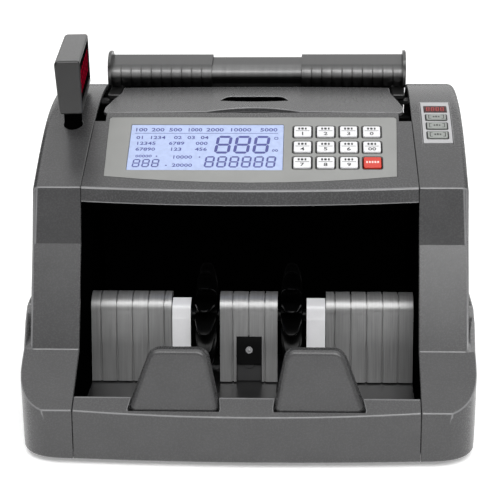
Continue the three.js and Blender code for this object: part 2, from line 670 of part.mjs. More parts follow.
// ---- Impellers, shafts and belt drive -----------------------------------------------------
function impellerShape() {
  const { radius, hub, fins } = IMPELLER;
  const points = [];
  const at = (r, a) => points.push([r * Math.cos(a), r * Math.sin(a)]);
  for (let i = 0; i < fins; i++) {
    const a = (i * 2 * Math.PI) / fins;
    at(hub, a);
    at(hub + 8, a + 0.05);
    at(hub + 17, a + 0.16);
    at(radius, a + 0.36);
    at(radius - 0.6, a + 0.42);
    at(hub + 16, a + 0.25);
    at(hub + 7.5, a + 0.16);
    at(hub, a + 0.18);
  }
  const shape = shapeOf(points);
  const bore = new THREE.Path();
  bore.absarc(0, 0, SHAFT_R + GAP, 0, 2 * Math.PI, true);
  shape.holes.push(bore);
  return shape;
}

function pulleyProfile(radius, bore) {
  const half = BELT_WIDTH / 2;
  return [
    [bore, PULLEY_X - half - 2], [radius + 2.5, PULLEY_X - half - 2], [radius + 2.5, PULLEY_X - half - 0.6],
    [radius, PULLEY_X - half - 0.4], [radius, PULLEY_X + half + 0.4], [radius + 2.5, PULLEY_X + half + 0.6],
    [radius + 2.5, PULLEY_X + half + 2], [bore, PULLEY_X + half + 2],
  ];
}

// Outline of a belt around the three pulleys, at a distance from their rims
function beltOutline(extra) {
  const wheels = [
    { ...MOTOR, r: PULLEY_R.motor + extra },
    { ...FEED, r: PULLEY_R.feed + extra },
    { ...IMPELLER, r: PULLEY_R.impeller + extra },
  ];
  const normals = wheels.map((wheel, i) => {
    const next = wheels[(i + 1) % wheels.length];
    const run = new THREE.Vector2(next.y - wheel.y, next.z - wheel.z);
    return Math.atan2(run.y, run.x) - Math.acos((wheel.r - next.r) / run.length());
  });
  return wheels.flatMap((wheel, i) => {
    const start = normals[(i + wheels.length - 1) % wheels.length];
    let end = normals[i];
    while (end < start) end += 2 * Math.PI;
    const deg = THREE.MathUtils.radToDeg;
    return arcPoints(wheel.y, wheel.z, wheel.r, deg(start), deg(end), 12);
  });
}

function buildDrive() {
  IMPELLER_X.forEach((x, i) => {
    const m = new THREE.Matrix4().set(
      0, 0, 1, x - IMPELLER.width / 2, 1, 0, 0, IMPELLER.y, 0, 1, 0, IMPELLER.z, 0, 0, 0, 1);
    const wheel = solid(extrusion(impellerShape(), IMPELLER.width).applyMatrix4(m));
    add(i ? "impeller_right" : "impeller_left", wheel, FINISH.rubber);
  });
  const shaftEnd = FRAME_X + FRAME_THICKNESS + 3;
  add("impeller_shaft", barX(SHAFT_R, PULLEY_X - 5, shaftEnd, IMPELLER.y, IMPELLER.z), FINISH.steel);
  add("feed_shaft", barX(SHAFT_R, PULLEY_X - 5, shaftEnd, FEED.y, FEED.z), FINISH.steel);
  const bore = SHAFT_R + GAP;
  add("feed_roller", turnedX([
    [bore, -52], [12, -52], [12, -28], [8, -27], [8, 27], [12, 28], [12, 52], [bore, 52],
  ], FEED.y, FEED.z), FINISH.rubber);
  const pulleys = {
    impeller: [IMPELLER, bore, 30],
    feed: [FEED, bore, 20],
    motor: [MOTOR, MOTOR_SHAFT_R + GAP, 16],
  };
  for (const [name, [axis, hole, sides]] of Object.entries(pulleys)) {
    const pulley = turnedX(pulleyProfile(PULLEY_R[name], hole), axis.y, axis.z, sides);
    add(`${name}_pulley`, pulley, FINISH.dark);
  }

  const belt = shapeOf(beltOutline(GAP + BELT_THICKNESS));
  belt.holes.push(new THREE.Path(beltOutline(GAP).map(([y, z]) => new THREE.Vector2(y, z))));
  add("drive_belt", prismX(belt, PULLEY_X - BELT_WIDTH / 2, PULLEY_X + BELT_WIDTH / 2), FINISH.rubber);

  const can = barX(21, -108.5, -52, MOTOR.y, MOTOR.z, 32).add(barX(9, -53, -47, MOTOR.y, MOTOR.z));
  add("drive_motor", can.add(barX(MOTOR_SHAFT_R, PULLEY_X - 4, -100, MOTOR.y, MOTOR.z, 16)), FINISH.steel);
}

// ---- Chassis and electrics ----------------------------------------------------------------
const TRAY_THICKNESS = 1.6;
const TRAY_OUTLINE = [ // stops short of the inlet behind it
  [-118, 8], [118, 8], [131, 20], [137, 45], [137, 233], [96, 233], [96, 214], [28, 214],
  [28, 233], [-137, 233], [-137, 45], [-131, 20],
];
const FEET = {
  front_left: [-116, 26],
  front_right: [116, 26],
  rear_left: [-116, 216],
  rear_right: [116, 216],
};
const FRAME_OUTLINE = [
  [22, 7], [22, 40], [50, 60], [76, 122], [85, 153], [141, 181.5], [176, 190.5], [206, 192],
  [222, 186], [231, 172], [231, 7],
];
const BOARD = [-38, 28, 158, 226, 12, 13.6];
const BOARD_POSTS = [[-34, 162], [24, 162], [-34, 222], [24, 222]];
const BOARD_PARTS = [[-28, -8, 170, 190, 16], [2, 20, 168, 176, 24], [-30, 10, 208, 216, 21]];

function buildChassis() {
  const flange = box(-104, 20, 231, 233, 5, 30);
  const sheet = prismZ(shapeOf(TRAY_OUTLINE), FOOT_HEIGHT + 0.2, FOOT_HEIGHT + 0.2 + TRAY_THICKNESS);
  add("base_tray", sheet.add(flange), FINISH.steel);

  const profile = [[0, 0], [8, 0], [9, 0.8], [9.5, 3], [9.5, FOOT_HEIGHT - 0.1], [0, FOOT_HEIGHT - 0.1]];
  for (const [place, [x, y]] of Object.entries(FEET)) {
    const geometry = new THREE.LatheGeometry(profile.map(([r, h]) => new THREE.Vector2(r, h)), 18);
    const mesh = add(`foot_${place}`, solid(geometry.rotateX(Math.PI / 2)), FINISH.rubber);
    mesh.position.set(x, y, 0);
  }

  const plate = shapeOf(FRAME_OUTLINE);
  for (const side of [-1, 1]) {
    const [x0, x1] = side < 0 ? [-FRAME_X - FRAME_THICKNESS, -FRAME_X] : [FRAME_X, FRAME_X + FRAME_THICKNESS];
    let frame = prismX(plate, x0, x1);
    const bores = [[IMPELLER, SHAFT_R], [FEED, SHAFT_R], [LID_HINGE, LID_PIN_R]];
    if (side < 0) bores.push([MOTOR, MOTOR_SHAFT_R + 1]);
    for (const [axis, radius] of bores) {
      frame = frame.subtract(barX(radius + 0.35, x0 - 1, x1 + 1, axis.y, axis.z));
    }
    add(side < 0 ? "left_frame_plate" : "right_frame_plate", frame, FINISH.dark);
  }

  const deckZ = FOOT_HEIGHT + 0.2 + TRAY_THICKNESS + 0.1;
  let board = box(...BOARD);
  for (const [x, y] of BOARD_POSTS) {
    board = board.add(box(x - 2.5, x + 2.5, y - 2.5, y + 2.5, deckZ, BOARD[4] + 0.5));
  }
  for (const [x0, x1, y0, y1, top] of BOARD_PARTS) board = board.add(box(x0, x1, y0, y1, BOARD[4] + 1, top));
  add("main_board", board, FINISH.board);
  add("power_supply", box(38, 100, 158, 208, deckZ, 46), FINISH.steel);
}

// ---- Customer display ---------------------------------------------------------------------
const displayYaw = THREE.MathUtils.degToRad(DISPLAY.yaw);
const displayAxis = {
  x: DISPLAY.near[0] - DISPLAY_NECK.along * Math.sin(displayYaw),
  y: DISPLAY.near[1] + DISPLAY_NECK.along * Math.cos(displayYaw),
};

function buildDisplay() {
  const group = new THREE.Group();
  group.position.set(displayAxis.x, displayAxis.y, 0);
  group.rotation.z = displayYaw;
  machine.add(group);
  const [front, back] = [-DISPLAY_NECK.along, DISPLAY.length - DISPLAY_NECK.along];
  const half = DISPLAY.thickness / 2;
  const top = DISPLAY.bottom + DISPLAY.height;
  const left = -half + DISPLAY_DRAFT + DISPLAY_LEAN;
  const right = half - DISPLAY_DRAFT + DISPLAY_LEAN;
  const face = shapeOf([
    [left + 1, DISPLAY.bottom], [right - 1, DISPLAY.bottom], [right, DISPLAY.bottom + 1],
    [half, top - 1], [half - 1, top], [-half + 2.5, top], [-half + 0.7, top - 0.7], [-half, top - 2.5],
    [left, DISPLAY.bottom + 1],
  ]);
  const recess = box(half - 2, half + 3, front + 2, back - 2, DISPLAY.bottom + 4.5, top - 1.6);
  const shell = prismY(face, front, back).subtract(recess);
  const neck = solid(new THREE.CylinderGeometry(DISPLAY_NECK.radius, DISPLAY_NECK.radius, 24, 24)
    .rotateX(Math.PI / 2).translate(0, 0, DISPLAY.bottom - 10));
  add("display_housing", shell.add(neck), FINISH.body, group);
  const pane = box(half - 1.6, half - 0.1, front + 2.3, back - 2.3, DISPLAY.bottom + 4.8, top - 1.9);
  add("display_window", pane, FINISH.redWindow, group);
}

buildSideHousings();
buildSideKeypad();
buildFrontCover();
buildPanel();
buildRear();
buildLid();
buildHopper();
buildBay();
buildDrive();
buildChassis();
buildDisplay();

export default machine;
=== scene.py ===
"""Looks of the banknote counting machine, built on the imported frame.

Shapes are in the CAD source's millimetres: X to the operator's right, Y to the rear, Z up.
at() and the other place functions turn them into positions in the frame, in metres.
"""
import json
import math

import bmesh
import bpy
from mathutils import Matrix, Vector

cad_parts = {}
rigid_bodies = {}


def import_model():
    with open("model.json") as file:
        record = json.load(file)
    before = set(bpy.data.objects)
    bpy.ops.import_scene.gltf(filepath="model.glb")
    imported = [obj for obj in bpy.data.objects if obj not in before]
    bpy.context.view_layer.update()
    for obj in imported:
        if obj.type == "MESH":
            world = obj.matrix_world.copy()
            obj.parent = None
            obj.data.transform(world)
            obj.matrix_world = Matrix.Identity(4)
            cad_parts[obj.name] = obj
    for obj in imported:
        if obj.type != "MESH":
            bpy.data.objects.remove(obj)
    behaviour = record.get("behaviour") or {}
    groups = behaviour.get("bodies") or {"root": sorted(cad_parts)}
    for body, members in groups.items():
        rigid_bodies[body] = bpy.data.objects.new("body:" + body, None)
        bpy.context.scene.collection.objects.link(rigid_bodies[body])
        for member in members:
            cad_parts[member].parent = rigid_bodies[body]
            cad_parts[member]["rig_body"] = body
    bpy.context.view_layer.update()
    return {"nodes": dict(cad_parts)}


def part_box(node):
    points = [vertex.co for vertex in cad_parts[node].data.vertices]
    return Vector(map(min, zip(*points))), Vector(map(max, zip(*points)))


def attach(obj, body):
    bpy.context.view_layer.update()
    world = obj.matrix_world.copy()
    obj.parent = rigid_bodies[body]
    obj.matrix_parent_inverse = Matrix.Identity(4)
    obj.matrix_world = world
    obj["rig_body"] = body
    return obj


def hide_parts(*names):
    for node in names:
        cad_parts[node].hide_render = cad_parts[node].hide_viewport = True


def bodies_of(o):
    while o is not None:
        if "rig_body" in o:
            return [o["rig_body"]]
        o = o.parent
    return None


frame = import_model()
nodes = frame["nodes"]

MM = 0.001
SHIFT_Y = -116.8  # from the CAD source's Y to the frame's, in mm


def at(x, y, z):
    """A point given in the CAD source's millimetres, in the frame's metres."""
    return Vector((x * MM, (y + SHIFT_Y) * MM, z * MM))


def source_point(co):
    """A position in the frame, in the CAD source's millimetres."""
    return co.x / MM, co.y / MM - SHIFT_Y, co.z / MM


def linked(name, data):
    """A new object in the scene's collection."""
    made = bpy.data.objects.new(name, data)
    bpy.context.collection.objects.link(made)
    return made


# ---- Camera, stage and light ----
CAMERA_AT = Vector((0.0434, -0.9916, 0.4337))
LOOK_DOWN = math.radians(19.63)
LOOK_LEFT = math.radians(2.66)
ROLL = math.radians(-0.60)
LENS, SENSOR_WIDTH = 111.1, 36  # mm
FRAMING_SHIFT = (0.0024, 0.0654)
CLIP = (0.05, 20)

WHITE = (1, 1, 1, 1)
FLOOR_HALF = 2.4
FLOOR_LOOK = {"Base Color": (0.93, 0.93, 0.93, 1), "Roughness": 0.7, "Specular IOR Level": 0.2,
              "Emission Color": WHITE, "Emission Strength": 0.3}
EVEN_LIGHT = 0.03  # strength of the light from all sides
LIGHTS = (  # name, place, what it faces, size in metres, power in watts
    ("ceiling", (0.0, 0.6, 2.4), (0, 0.6, 0), (4.5, 3.6), 74),
    ("backdrop", (0.2, 1.7, 0.85), (0, 0, 0.2), (3.4, 1.2), 12.5),
    ("key_right", (0.5, -1.2, 0.92), (0.1, 0, 0.1), (0.95, 0.26), 6.8),
    ("key_left", (-0.48, -1.2, 0.92), (-0.1, 0, 0.1), (1.0, 0.26), 2.1),
    ("high_front", (0.0, -0.95, 1.25), (0, 0, 0.1), (1.4, 0.4), 11),
    ("right_fill", (1.3, 0.0, 0.6), (0, 0, 0.15), (1.0, 0.8), 1.5),
)


def make_camera():
    forward = Vector((-math.cos(LOOK_DOWN) * math.sin(LOOK_LEFT),
                      math.cos(LOOK_DOWN) * math.cos(LOOK_LEFT), -math.sin(LOOK_DOWN)))
    right = Vector((math.cos(LOOK_LEFT), math.sin(LOOK_LEFT), 0))
    up = right.cross(forward)
    x_axis = right * math.cos(ROLL) + up * math.sin(ROLL)
    y_axis = up * math.cos(ROLL) - right * math.sin(ROLL)
    data = bpy.data.cameras.new("camera")
    data.lens, data.sensor_width = LENS, SENSOR_WIDTH
    data.shift_x, data.shift_y = FRAMING_SHIFT
    data.clip_start, data.clip_end = CLIP
    camera = linked("camera", data)
    turn = Matrix((x_axis, y_axis, -forward)).transposed()
    camera.matrix_world = Matrix.Translation(CAMERA_AT) @ turn.to_4x4()
    bpy.context.scene.camera = camera


def make_floor():
    half = FLOOR_HALF
    corners = [(-half, -half, 0), (half, -half, 0), (half, half, 0), (-half, half, 0)]
    mesh = bpy.data.meshes.new("floor")
    mesh.from_pydata(corners, [], [(0, 1, 2, 3)])
    material = bpy.data.materials.new("floor")
    material.use_nodes = True
    shader = material.node_tree.nodes["Principled BSDF"]
    for socket, value in FLOOR_LOOK.items():
        shader.inputs[socket].default_value = value
    mesh.materials.append(material)
    linked("floor", mesh)


def make_world():
    """Faint light from all sides; beyond the floor the camera sees plain white."""
    world = bpy.data.worlds.new("studio")
    world.use_nodes = True
    tree = world.node_tree
    lighting = tree.nodes["Background"]
    lighting.inputs["Color"].default_value = WHITE
    lighting.inputs["Strength"].default_value = EVEN_LIGHT
    seen = tree.nodes.new("ShaderNodeBackground")
    seen.inputs["Color"].default_value = WHITE
    path = tree.nodes.new("ShaderNodeLightPath")
    either = tree.nodes.new("ShaderNodeMixShader")
    tree.links.new(path.outputs["Is Camera Ray"], either.inputs[0])
    tree.links.new(lighting.outputs[0], either.inputs[1])
    tree.links.new(seen.outputs[0], either.inputs[2])
    tree.links.new(either.outputs[0], tree.nodes["World Output"].inputs["Surface"])
    bpy.context.scene.world = world
    bpy.context.scene.view_settings.view_transform = "Standard"


def make_lights():
    for name, place, target, size, power in LIGHTS:
        data = bpy.data.lights.new(name, "AREA")
        data.shape = "RECTANGLE"
        data.size, data.size_y = size
        data.energy = power
        light = linked(name, data)
        light.location = place
        aim = Vector(target) - Vector(place)
        light.rotation_euler = aim.to_track_quat("-Z", "Y").to_euler()


# ---- Materials ----
LOOKS = {}  # every material by its name; the usual look of a slot has the slot's name

# noise scales, per metre
MOTTLING, SPECKS, GLOSS, GRAIN = 60, 2600, 900, 1800
BRUSHING, CLOUDS, HIGHLIGHT_STREAKS = 1500, 40, 300
UNEVEN_COLOUR, UNEVEN_GLOW = 400, 300
GRAIN_DEPTH, BRUSHING_DEPTH = 0.00008, 0.00003  # metres


class Shade:
    """One node material, built up from noise, colour ramps and bump."""

    def __init__(self, name, roughness, metallic=0.0, specular=0.5):
        material = bpy.data.materials.new(name)
        material.use_nodes = True
        LOOKS[name] = material
        self.tree = material.node_tree
        self.shader = self.tree.nodes["Principled BSDF"]
        self.shader.inputs["Roughness"].default_value = roughness
        self.shader.inputs["Metallic"].default_value = metallic
        self.shader.inputs["Specular IOR Level"].default_value = specular
        self.coords = self.node("TexCoord").outputs["Object"]

    def node(self, kind, **settings):
        made = self.tree.nodes.new("ShaderNode" + kind)
        for key, value in settings.items():
            setattr(made, key, value)
        return made

    def link(self, output, socket):
        self.tree.links.new(output, socket)

    def set(self, socket, output):
        self.link(output, self.shader.inputs[socket])

    def noise(self, scale, detail=2.0, stretch=None):
        made = self.node("TexNoise")
        made.inputs["Scale"].default_value = scale
        made.inputs["Detail"].default_value = detail
        source = self.coords
        if stretch:
            mapping = self.node("Mapping")
            mapping.inputs["Scale"].default_value = stretch
            self.link(source, mapping.inputs["Vector"])
            source = mapping.outputs["Vector"]
        self.link(source, made.inputs["Vector"])
        return made.outputs["Fac"]

    def ramp(self, fac, *stops):
        made = self.node("ValToRGB")
        elements = made.color_ramp.elements
        while len(elements) < len(stops):
            elements.new(0.5)
        for element, (place, colour) in zip(elements, stops):
            element.position = place
            element.color = (*colour, 1)
        self.link(fac, made.inputs["Fac"])
        return made.outputs["Color"]

    def vary(self, noise, low, high, start=0.3):
        """From one colour to the other as the noise goes from start to 1 - start."""
        return self.ramp(noise, (start, low), (1 - start, high))

    def multiply(self, a, b):
        made = self.node("Mix", data_type="RGBA", blend_type="MULTIPLY")
        made.inputs[0].default_value = 1.0
        self.link(a, made.inputs[6])
        self.link(b, made.inputs[7])
        return made.outputs[2]

    def bump(self, height, strength, depth):
        made = self.node("Bump")
        made.inputs["Strength"].default_value = strength
        made.inputs["Distance"].default_value = depth
        self.link(height, made.inputs["Height"])
        self.set("Normal", made.outputs["Normal"])


def grey(value, tint=(1, 1, 1)):
    return tuple(value * t for t in tint)


def moulded(name, dark, light, roughness, grain=1.0, tint=(1, 1, 1.02), **finish):
    """Moulded plastic: slow mottling, fine specks, uneven gloss and spark-eroded grain."""
    shade = Shade(name, roughness, **finish)
    base = shade.vary(shade.noise(MOTTLING, 3), grey(dark, tint), grey(light, tint))
    specks = shade.vary(shade.noise(SPECKS), grey(0.98), grey(1.02), 0.35)
    shade.set("Base Color", shade.multiply(base, specks))
    gloss = shade.noise(GLOSS)
    shade.set("Roughness", shade.vary(gloss, grey(roughness - 0.02), grey(roughness + 0.02)))
    if grain > 0:
        shade.bump(shade.noise(GRAIN, 3), 0.3 * grain, GRAIN_DEPTH)


def brushed(name, dark, light, roughness, metallic):
    """Metallic finish drawn in fine upright streaks."""
    shade = Shade(name, roughness, metallic)
    streaks = shade.noise(BRUSHING, 3, stretch=(1, 0.02, 0.02))
    clouds = shade.vary(shade.noise(CLOUDS, 3), grey(0.94), grey(1.04))
    base = shade.vary(streaks, grey(dark), grey(light))
    shade.set("Base Color", shade.multiply(base, clouds))
    shade.set("Roughness", shade.vary(streaks, grey(roughness - 0.06), grey(roughness + 0.06)))
    shade.bump(streaks, 0.15, BRUSHING_DEPTH)


def painted_highlight_band(name, dark, light, low, high, roughness, **finish):
    """Dark plastic with a painted highlight: a level band painted lighter, from low to high in
    metres.
    """
    shade = Shade(name, roughness, **finish)
    split = shade.node("SeparateXYZ")
    shade.link(shade.coords, split.inputs[0])
    place = shade.node("MapRange")
    place.inputs["From Min"].default_value = low
    place.inputs["From Max"].default_value = high
    shade.link(split.outputs["Z"], place.inputs["Value"])
    band = shade.ramp(place.outputs["Result"], (0, grey(dark)), (0.35, grey(light)),
                      (0.6, grey(light)), (1, grey(dark)))
    streaks = shade.noise(HIGHLIGHT_STREAKS, 3, stretch=(1, 0.05, 0.05))
    shade.set("Base Color", shade.multiply(band, shade.vary(streaks, grey(0.8), grey(1.1))))
    shade.bump(shade.noise(GRAIN, 3), 0.02, GRAIN_DEPTH)


def glowing(name, colour, glow, strength, roughness, **finish):
    """A lit surface: its own colour, and a glow that is uneven from place to place."""
    shade = Shade(name, roughness, **finish)
    shade.set("Base Color", shade.vary(shade.noise(UNEVEN_COLOUR), grey(0.85, colour), colour))
    shade.set("Emission Color", shade.vary(shade.noise(UNEVEN_GLOW), grey(0.8, glow), glow))
    shade.shader.inputs["Emission Strength"].default_value = strength


def make_looks():
    # the slots' own looks: darkest and lightest grey, then roughness
    moulded("body_plastic", 0.049, 0.056, 0.27, grain=0.08)
    moulded("dark_plastic", 0.003, 0.005, 0.35, grain=0.4, specular=0.2)
    moulded("black_steel", 0.0006, 0.001, 0.6, grain=0.4, specular=0)
    moulded("overlay_film", 0.225, 0.245, 0.42, grain=0.5, tint=(1, 1.01, 0.98))
    glowing("lcd_glass", (0.25, 0.30, 0.45), (0.50, 0.60, 0.90), 0.43, 0.25)
    moulded("key_plastic", 0.66, 0.72, 0.4, grain=0.3)
    moulded("red_key_plastic", 0.50, 0.56, 0.4, grain=0.3, tint=(1, 0.06, 0.03))
    moulded("grey_key_plastic", 0.23, 0.26, 0.45, grain=0.3, tint=(1, 1.06, 1))
    moulded("red_window", 0.030, 0.040, 0.12, grain=0, tint=(1, 0.05, 0.06))
    moulded("shaft_steel", 0.01, 0.015, 0.35, metallic=0.6)
    moulded("sheet_steel", 0.35, 0.42, 0.35, metallic=0.9)
    moulded("strip_metal", 0.76, 0.82, 0.35, grain=0.3)
    moulded("rubber", 0.001, 0.002, 0.25, grain=0.2, specular=0.1)
    moulded("circuit_board", 0.1, 0.14, 0.5, tint=(0.3, 1, 0.5))
    # looks that only some pieces or faces of a slot have
    moulded("lcd_ink", 0.040, 0.050, 0.3, grain=0, tint=(1, 1.15, 5.0))
    moulded("key_ink", 0.010, 0.014, 0.5, grain=0)
    moulded("key_frame_ink", 0.012, 0.018, 0.5, grain=0.3)
    moulded("white_ink", 0.75, 0.82, 0.5, grain=0, tint=(1, 0.75, 0.7))
    glowing("red_digits", (0.16, 0.0, 0.01), (0.70, 0.01, 0.04), 0.13, 0.5, specular=0)
    glowing("red_led", (0.30, 0.01, 0.01), (0.80, 0.04, 0.03), 0.12, 0.4)
    moulded("lens", 0.30, 0.36, 0.06, grain=0)
    moulded("black_glass", 0.002, 0.003, 0.3, grain=0, specular=0)
    # painted highlight: a lighter, streaked band along the bend of the hopper bar and the note
    # guides
    painted_highlight_band("gloss_plastic_with_painted_highlight", 0.010, 0.17, 0.2015, 0.2095, 0.3, specular=0.85)
    moulded("display_plastic", 0.006, 0.010, 0.33, grain=0.2, specular=0.6)
    moulded("keypad_film", 0.36, 0.40, 0.42, grain=0.4)
    moulded("foot_plastic", 0.035, 0.042, 0.4, grain=0.3, specular=0.3)
    # stacker plates: brushed metal, in a grey painted lighter than the body plastic's to stand in
    # for light in the shaded bay
    brushed("brushed_plate_with_painted_light", 0.30, 0.38, 0.38, 0.6)
    # painted highlight: a lighter grey for the rounded edges, where the light catches them
    moulded("painted_edge_highlight", 0.16, 0.20, 0.22, grain=0.1)
    # painted shade: a darker grey for the trench floor down in the bay
    moulded("trench_painted_shade", 0.014, 0.018, 0.3, grain=0.1, specular=0.3)


# ---- Building blocks ----
SHARP_ABOVE = math.radians(32)  # steeper creases stay sharp in the shading
ROUND_ABOVE, ROUND_HARD = 22, 40  # degrees; steeper outward creases are rounded
ROUND_STEPS = 3
LIT_CREASE = 0.4  # mm, to each side of the crease
WELD = 0.002  # mm
NORMAL_WEIGHT = 90

stood_for = set()  # the nodes that a piece replaces


def slot_of(node):
    return nodes[node].data.materials[0].name.split(".")[0]


def body_of(node):
    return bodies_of(nodes[node])[0]


def finish_mesh(bm, name, crisp=None):
    """The finished mesh; edges that crisp() picks stay sharp although they are shallow."""
    mesh = bpy.data.meshes.new(name)
    bmesh.ops.recalc_face_normals(bm, faces=bm.faces)
    bm.edges.index_update()
    kept = [e.index for e in bm.edges if crisp and e.is_manifold and crisp(e)]
    bm.to_mesh(mesh)
    bm.free()
    mesh.shade_smooth()
    mesh.set_sharp_from_angle(angle=SHARP_ABOVE)
    for index in kept:
        mesh.edges[index].use_edge_sharp = True
    return mesh


def add_piece(name, mesh, body, slot, replaces=(), look=None):
    piece = linked(name, mesh)
    mesh.materials.append(LOOKS[look or slot])
    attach(piece, body)
    if replaces:
        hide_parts(*replaces)
        stood_for.update(replaces)
    weighted = piece.modifiers.new("weighted_normals", "WEIGHTED_NORMAL")
    weighted.keep_sharp = True
    weighted.weight = NORMAL_WEIGHT
    return piece


def new_piece(name, bm, body, slot, replaces=(), look=None):
    bmesh.ops.remove_doubles(bm, verts=bm.verts, dist=WELD * MM)
    return add_piece(name, finish_mesh(bm, name), body, slot, replaces, look)


def bevelled(bm, edges, width, steps, material):
    """Bevels edges by a width in mm; the new faces take the mesh's material of that index."""
    bmesh.ops.bevel(bm, geom=edges, offset=width * MM, offset_type="OFFSET", segments=steps,
                    profile=0.5, affect="EDGES", clamp_overlap=False, material=material)


def round_creases(bm, width, above=ROUND_HARD, chosen=None, material=0):
    """Rounds outward creases steeper than an angle, if chosen() is left out or picks them."""
    creases = [e for e in bm.edges
               if e.is_manifold and e.is_convex and e.calc_face_angle() > math.radians(above)
               and (chosen is None or chosen(e))]
    if width > 0 and creases:
        bevelled(bm, creases, width, ROUND_STEPS, material)


def light_creases(bm, lit):
    """Cuts a thin face with a painted highlight along the inward creases that lit() picks."""
    creases = [e for e in bm.edges if e.is_manifold and not e.is_convex and lit(e)]
    bevelled(bm, creases, LIT_CREASE, 1, 1)


def welded(node, merge, flat):
    """The node's shape as an editable mesh, its triangles joined into flat faces."""
    bm = bmesh.new()
    bm.from_mesh(nodes[node].data)
    bmesh.ops.remove_doubles(bm, verts=bm.verts, dist=merge * MM)
    bmesh.ops.dissolve_limit(bm, angle_limit=math.radians(flat), verts=bm.verts, edges=bm.edges)
    return bm


def keep_inside(bm, node):
    """Holds a rounded mesh inside the node's own box."""
    lo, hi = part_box(node)
    for v in bm.verts:
        v.co = Vector(min(max(v.co[i], lo[i]), hi[i]) for i in range(3))


def paint(piece, index, test):
    """Gives the faces whose middle passes a test the piece's material of that index."""
    for polygon in piece.data.polygons:
        if test(source_point(polygon.center)):
            polygon.material_index = index


def at_seam(centre):
    """Beside the seams between the side housings and the covers."""
    return 104 < abs(centre[0]) < 110.5


def refined(node, width=0.6, merge=WELD, flat=0.3, chosen=None, crisp=None, lit=None):
    """The node's shape with its creases rounded, as a new piece that stands for the node.

    Lengths are in mm and flat is in degrees. chosen(), crisp() and lit() pick edges to round, to
    keep crisp and to light. Rounded edges of body plastic, off the seams, get a painted highlight.
    """
    slot = slot_of(node)
    paints_highlights = slot == "body_plastic"
    bm = welded(node, merge, flat)
    if lit:
        light_creases(bm, lit)
    round_creases(bm, width, ROUND_ABOVE, chosen, int(paints_highlights))
    keep_inside(bm, node)
    mesh = finish_mesh(bm, node + "_body", crisp)
    piece = add_piece(node + "_body", mesh, body_of(node), slot, (node,))
    if paints_highlights:
        # the rounded edges take the painted highlight
        mesh.materials.append(LOOKS["painted_edge_highlight"])
        paint(piece, 0, at_seam)
    return piece


def join(bm, other):
    """Adds another body to a mesh."""
    mesh = bpy.data.meshes.new("joined")
    other.to_mesh(mesh)
    other.free()
    bm.from_mesh(mesh)
    bpy.data.meshes.remove(mesh)


# ---- Outlines and closed bodies ----
SOFT_STEPS = 4


def arc(x, y, radius, start, end, steps):
    """Points on an arc from one angle in degrees to another."""
    angles = (math.radians(start + (end - start) * i / steps) for i in range(steps + 1))
    return [(x + radius * math.cos(a), y + radius * math.sin(a)) for a in angles]


def rounded(width, height, radius, x=0, y=0, steps=4):
    """A rectangle with rounded corners round a middle point."""
    w, h = width / 2 - radius, height / 2 - radius
    return (arc(x + w, y - h, radius, -90, 0, steps)
            + arc(x + w, y + h, radius, 0, 90, steps)
            + arc(x - w, y + h, radius, 90, 180, steps)
            + arc(x - w, y - h, radius, 180, 270, steps))


def filleted(corners, radii, steps):
    """A closed outline through corners, each rounded to its radius."""
    made = []
    for i, (corner, radius) in enumerate(zip(corners, radii)):
        here = Vector(corner)
        back = (Vector(corners[i - 1]) - here).normalized()
        on = (Vector(corners[(i + 1) % len(corners)]) - here).normalized()
        half = back.angle(on) / 2
        reach = radius / math.tan(half)
        centre = here + (back + on).normalized() * radius / math.sin(half)
        start, end = here + back * reach - centre, here + on * reach - centre
        for s in range(steps + 1):
            ray = start.lerp(end, s / steps)
            made.append(tuple(centre + ray.normalized() * radius))
    return made


def mitred(here, edges, distance):
    """A point moved to the left of the edges that meet there."""
    normals = [Vector((-e.y, e.x)).normalized() for e in edges if e.length > 0]
    middle = sum(normals, Vector((0, 0))).normalized()
    return tuple(here + middle * distance / max(middle.dot(normals[0]), 0.5))


def inset(outline, distance):
    """A counter-clockwise closed outline drawn in by a distance."""
    points = [Vector(p) for p in outline]
    made = []
    for i, here in enumerate(points):
        after = points[(i + 1) % len(points)]
        made.append(mitred(here, (here - points[i - 1], after - here), distance))
    return made


def offset_line(line, distance):
    """An open line moved sideways, to the left of its direction."""
    points = [Vector(p) for p in line]
    made = []
    for i, here in enumerate(points):
        before, after = points[max(i - 1, 0)], points[min(i + 1, len(points) - 1)]
        made.append(mitred(here, (here - before, after - here), distance))
    return made


def bridge(bm, a, b):
    """Faces between two rings of equally many points."""
    for i in range(len(a)):
        j = (i + 1) % len(a)
        bm.faces.new((a[i], a[j], b[j], b[i]))


def loft(bm, loops):
    """A closed body through loops of equally many points."""
    rings = [[bm.verts.new(p) for p in loop] for loop in loops]
    for a, b in zip(rings, rings[1:]):
        bridge(bm, a, b)
    bm.faces.new(rings[0][::-1])
    bm.faces.new(rings[-1])


def looped(bm, loops):
    """A closed body whose last loop meets the first."""
    rings = [[bm.verts.new(p) for p in loop] for loop in loops]
    for a, b in zip(rings, rings[1:] + rings[:1]):
        bridge(bm, a, b)


def stack(bm, place, outline, levels):
    """A body of one outline at several heights, drawn in by a distance at each."""
    loft(bm, [[place(x, y, z) for x, y in inset(outline, d)] for d, z in levels])


def quarter_round(radius, steps):
    """Round an edge, from side to face: how far drawn in, and how far from the face."""
    angles = (i * math.pi / 2 / steps for i in range(steps + 1))
    return [(radius * (1 - math.cos(a)), radius * (1 - math.sin(a))) for a in angles]


def soft_slab(bm, place, outline, low, high, edge):
    """A slab with a rounded upper edge."""
    levels = [(draw_in, high - under) for draw_in, under in quarter_round(edge, SOFT_STEPS)]
    stack(bm, place, outline, [(0, low)] + levels)


def extruded(bm, section, ends):
    """A closed body of a section in y and z, between two places along x."""
    loft(bm, [[at(x, y, z) for y, z in section] for x in ends])


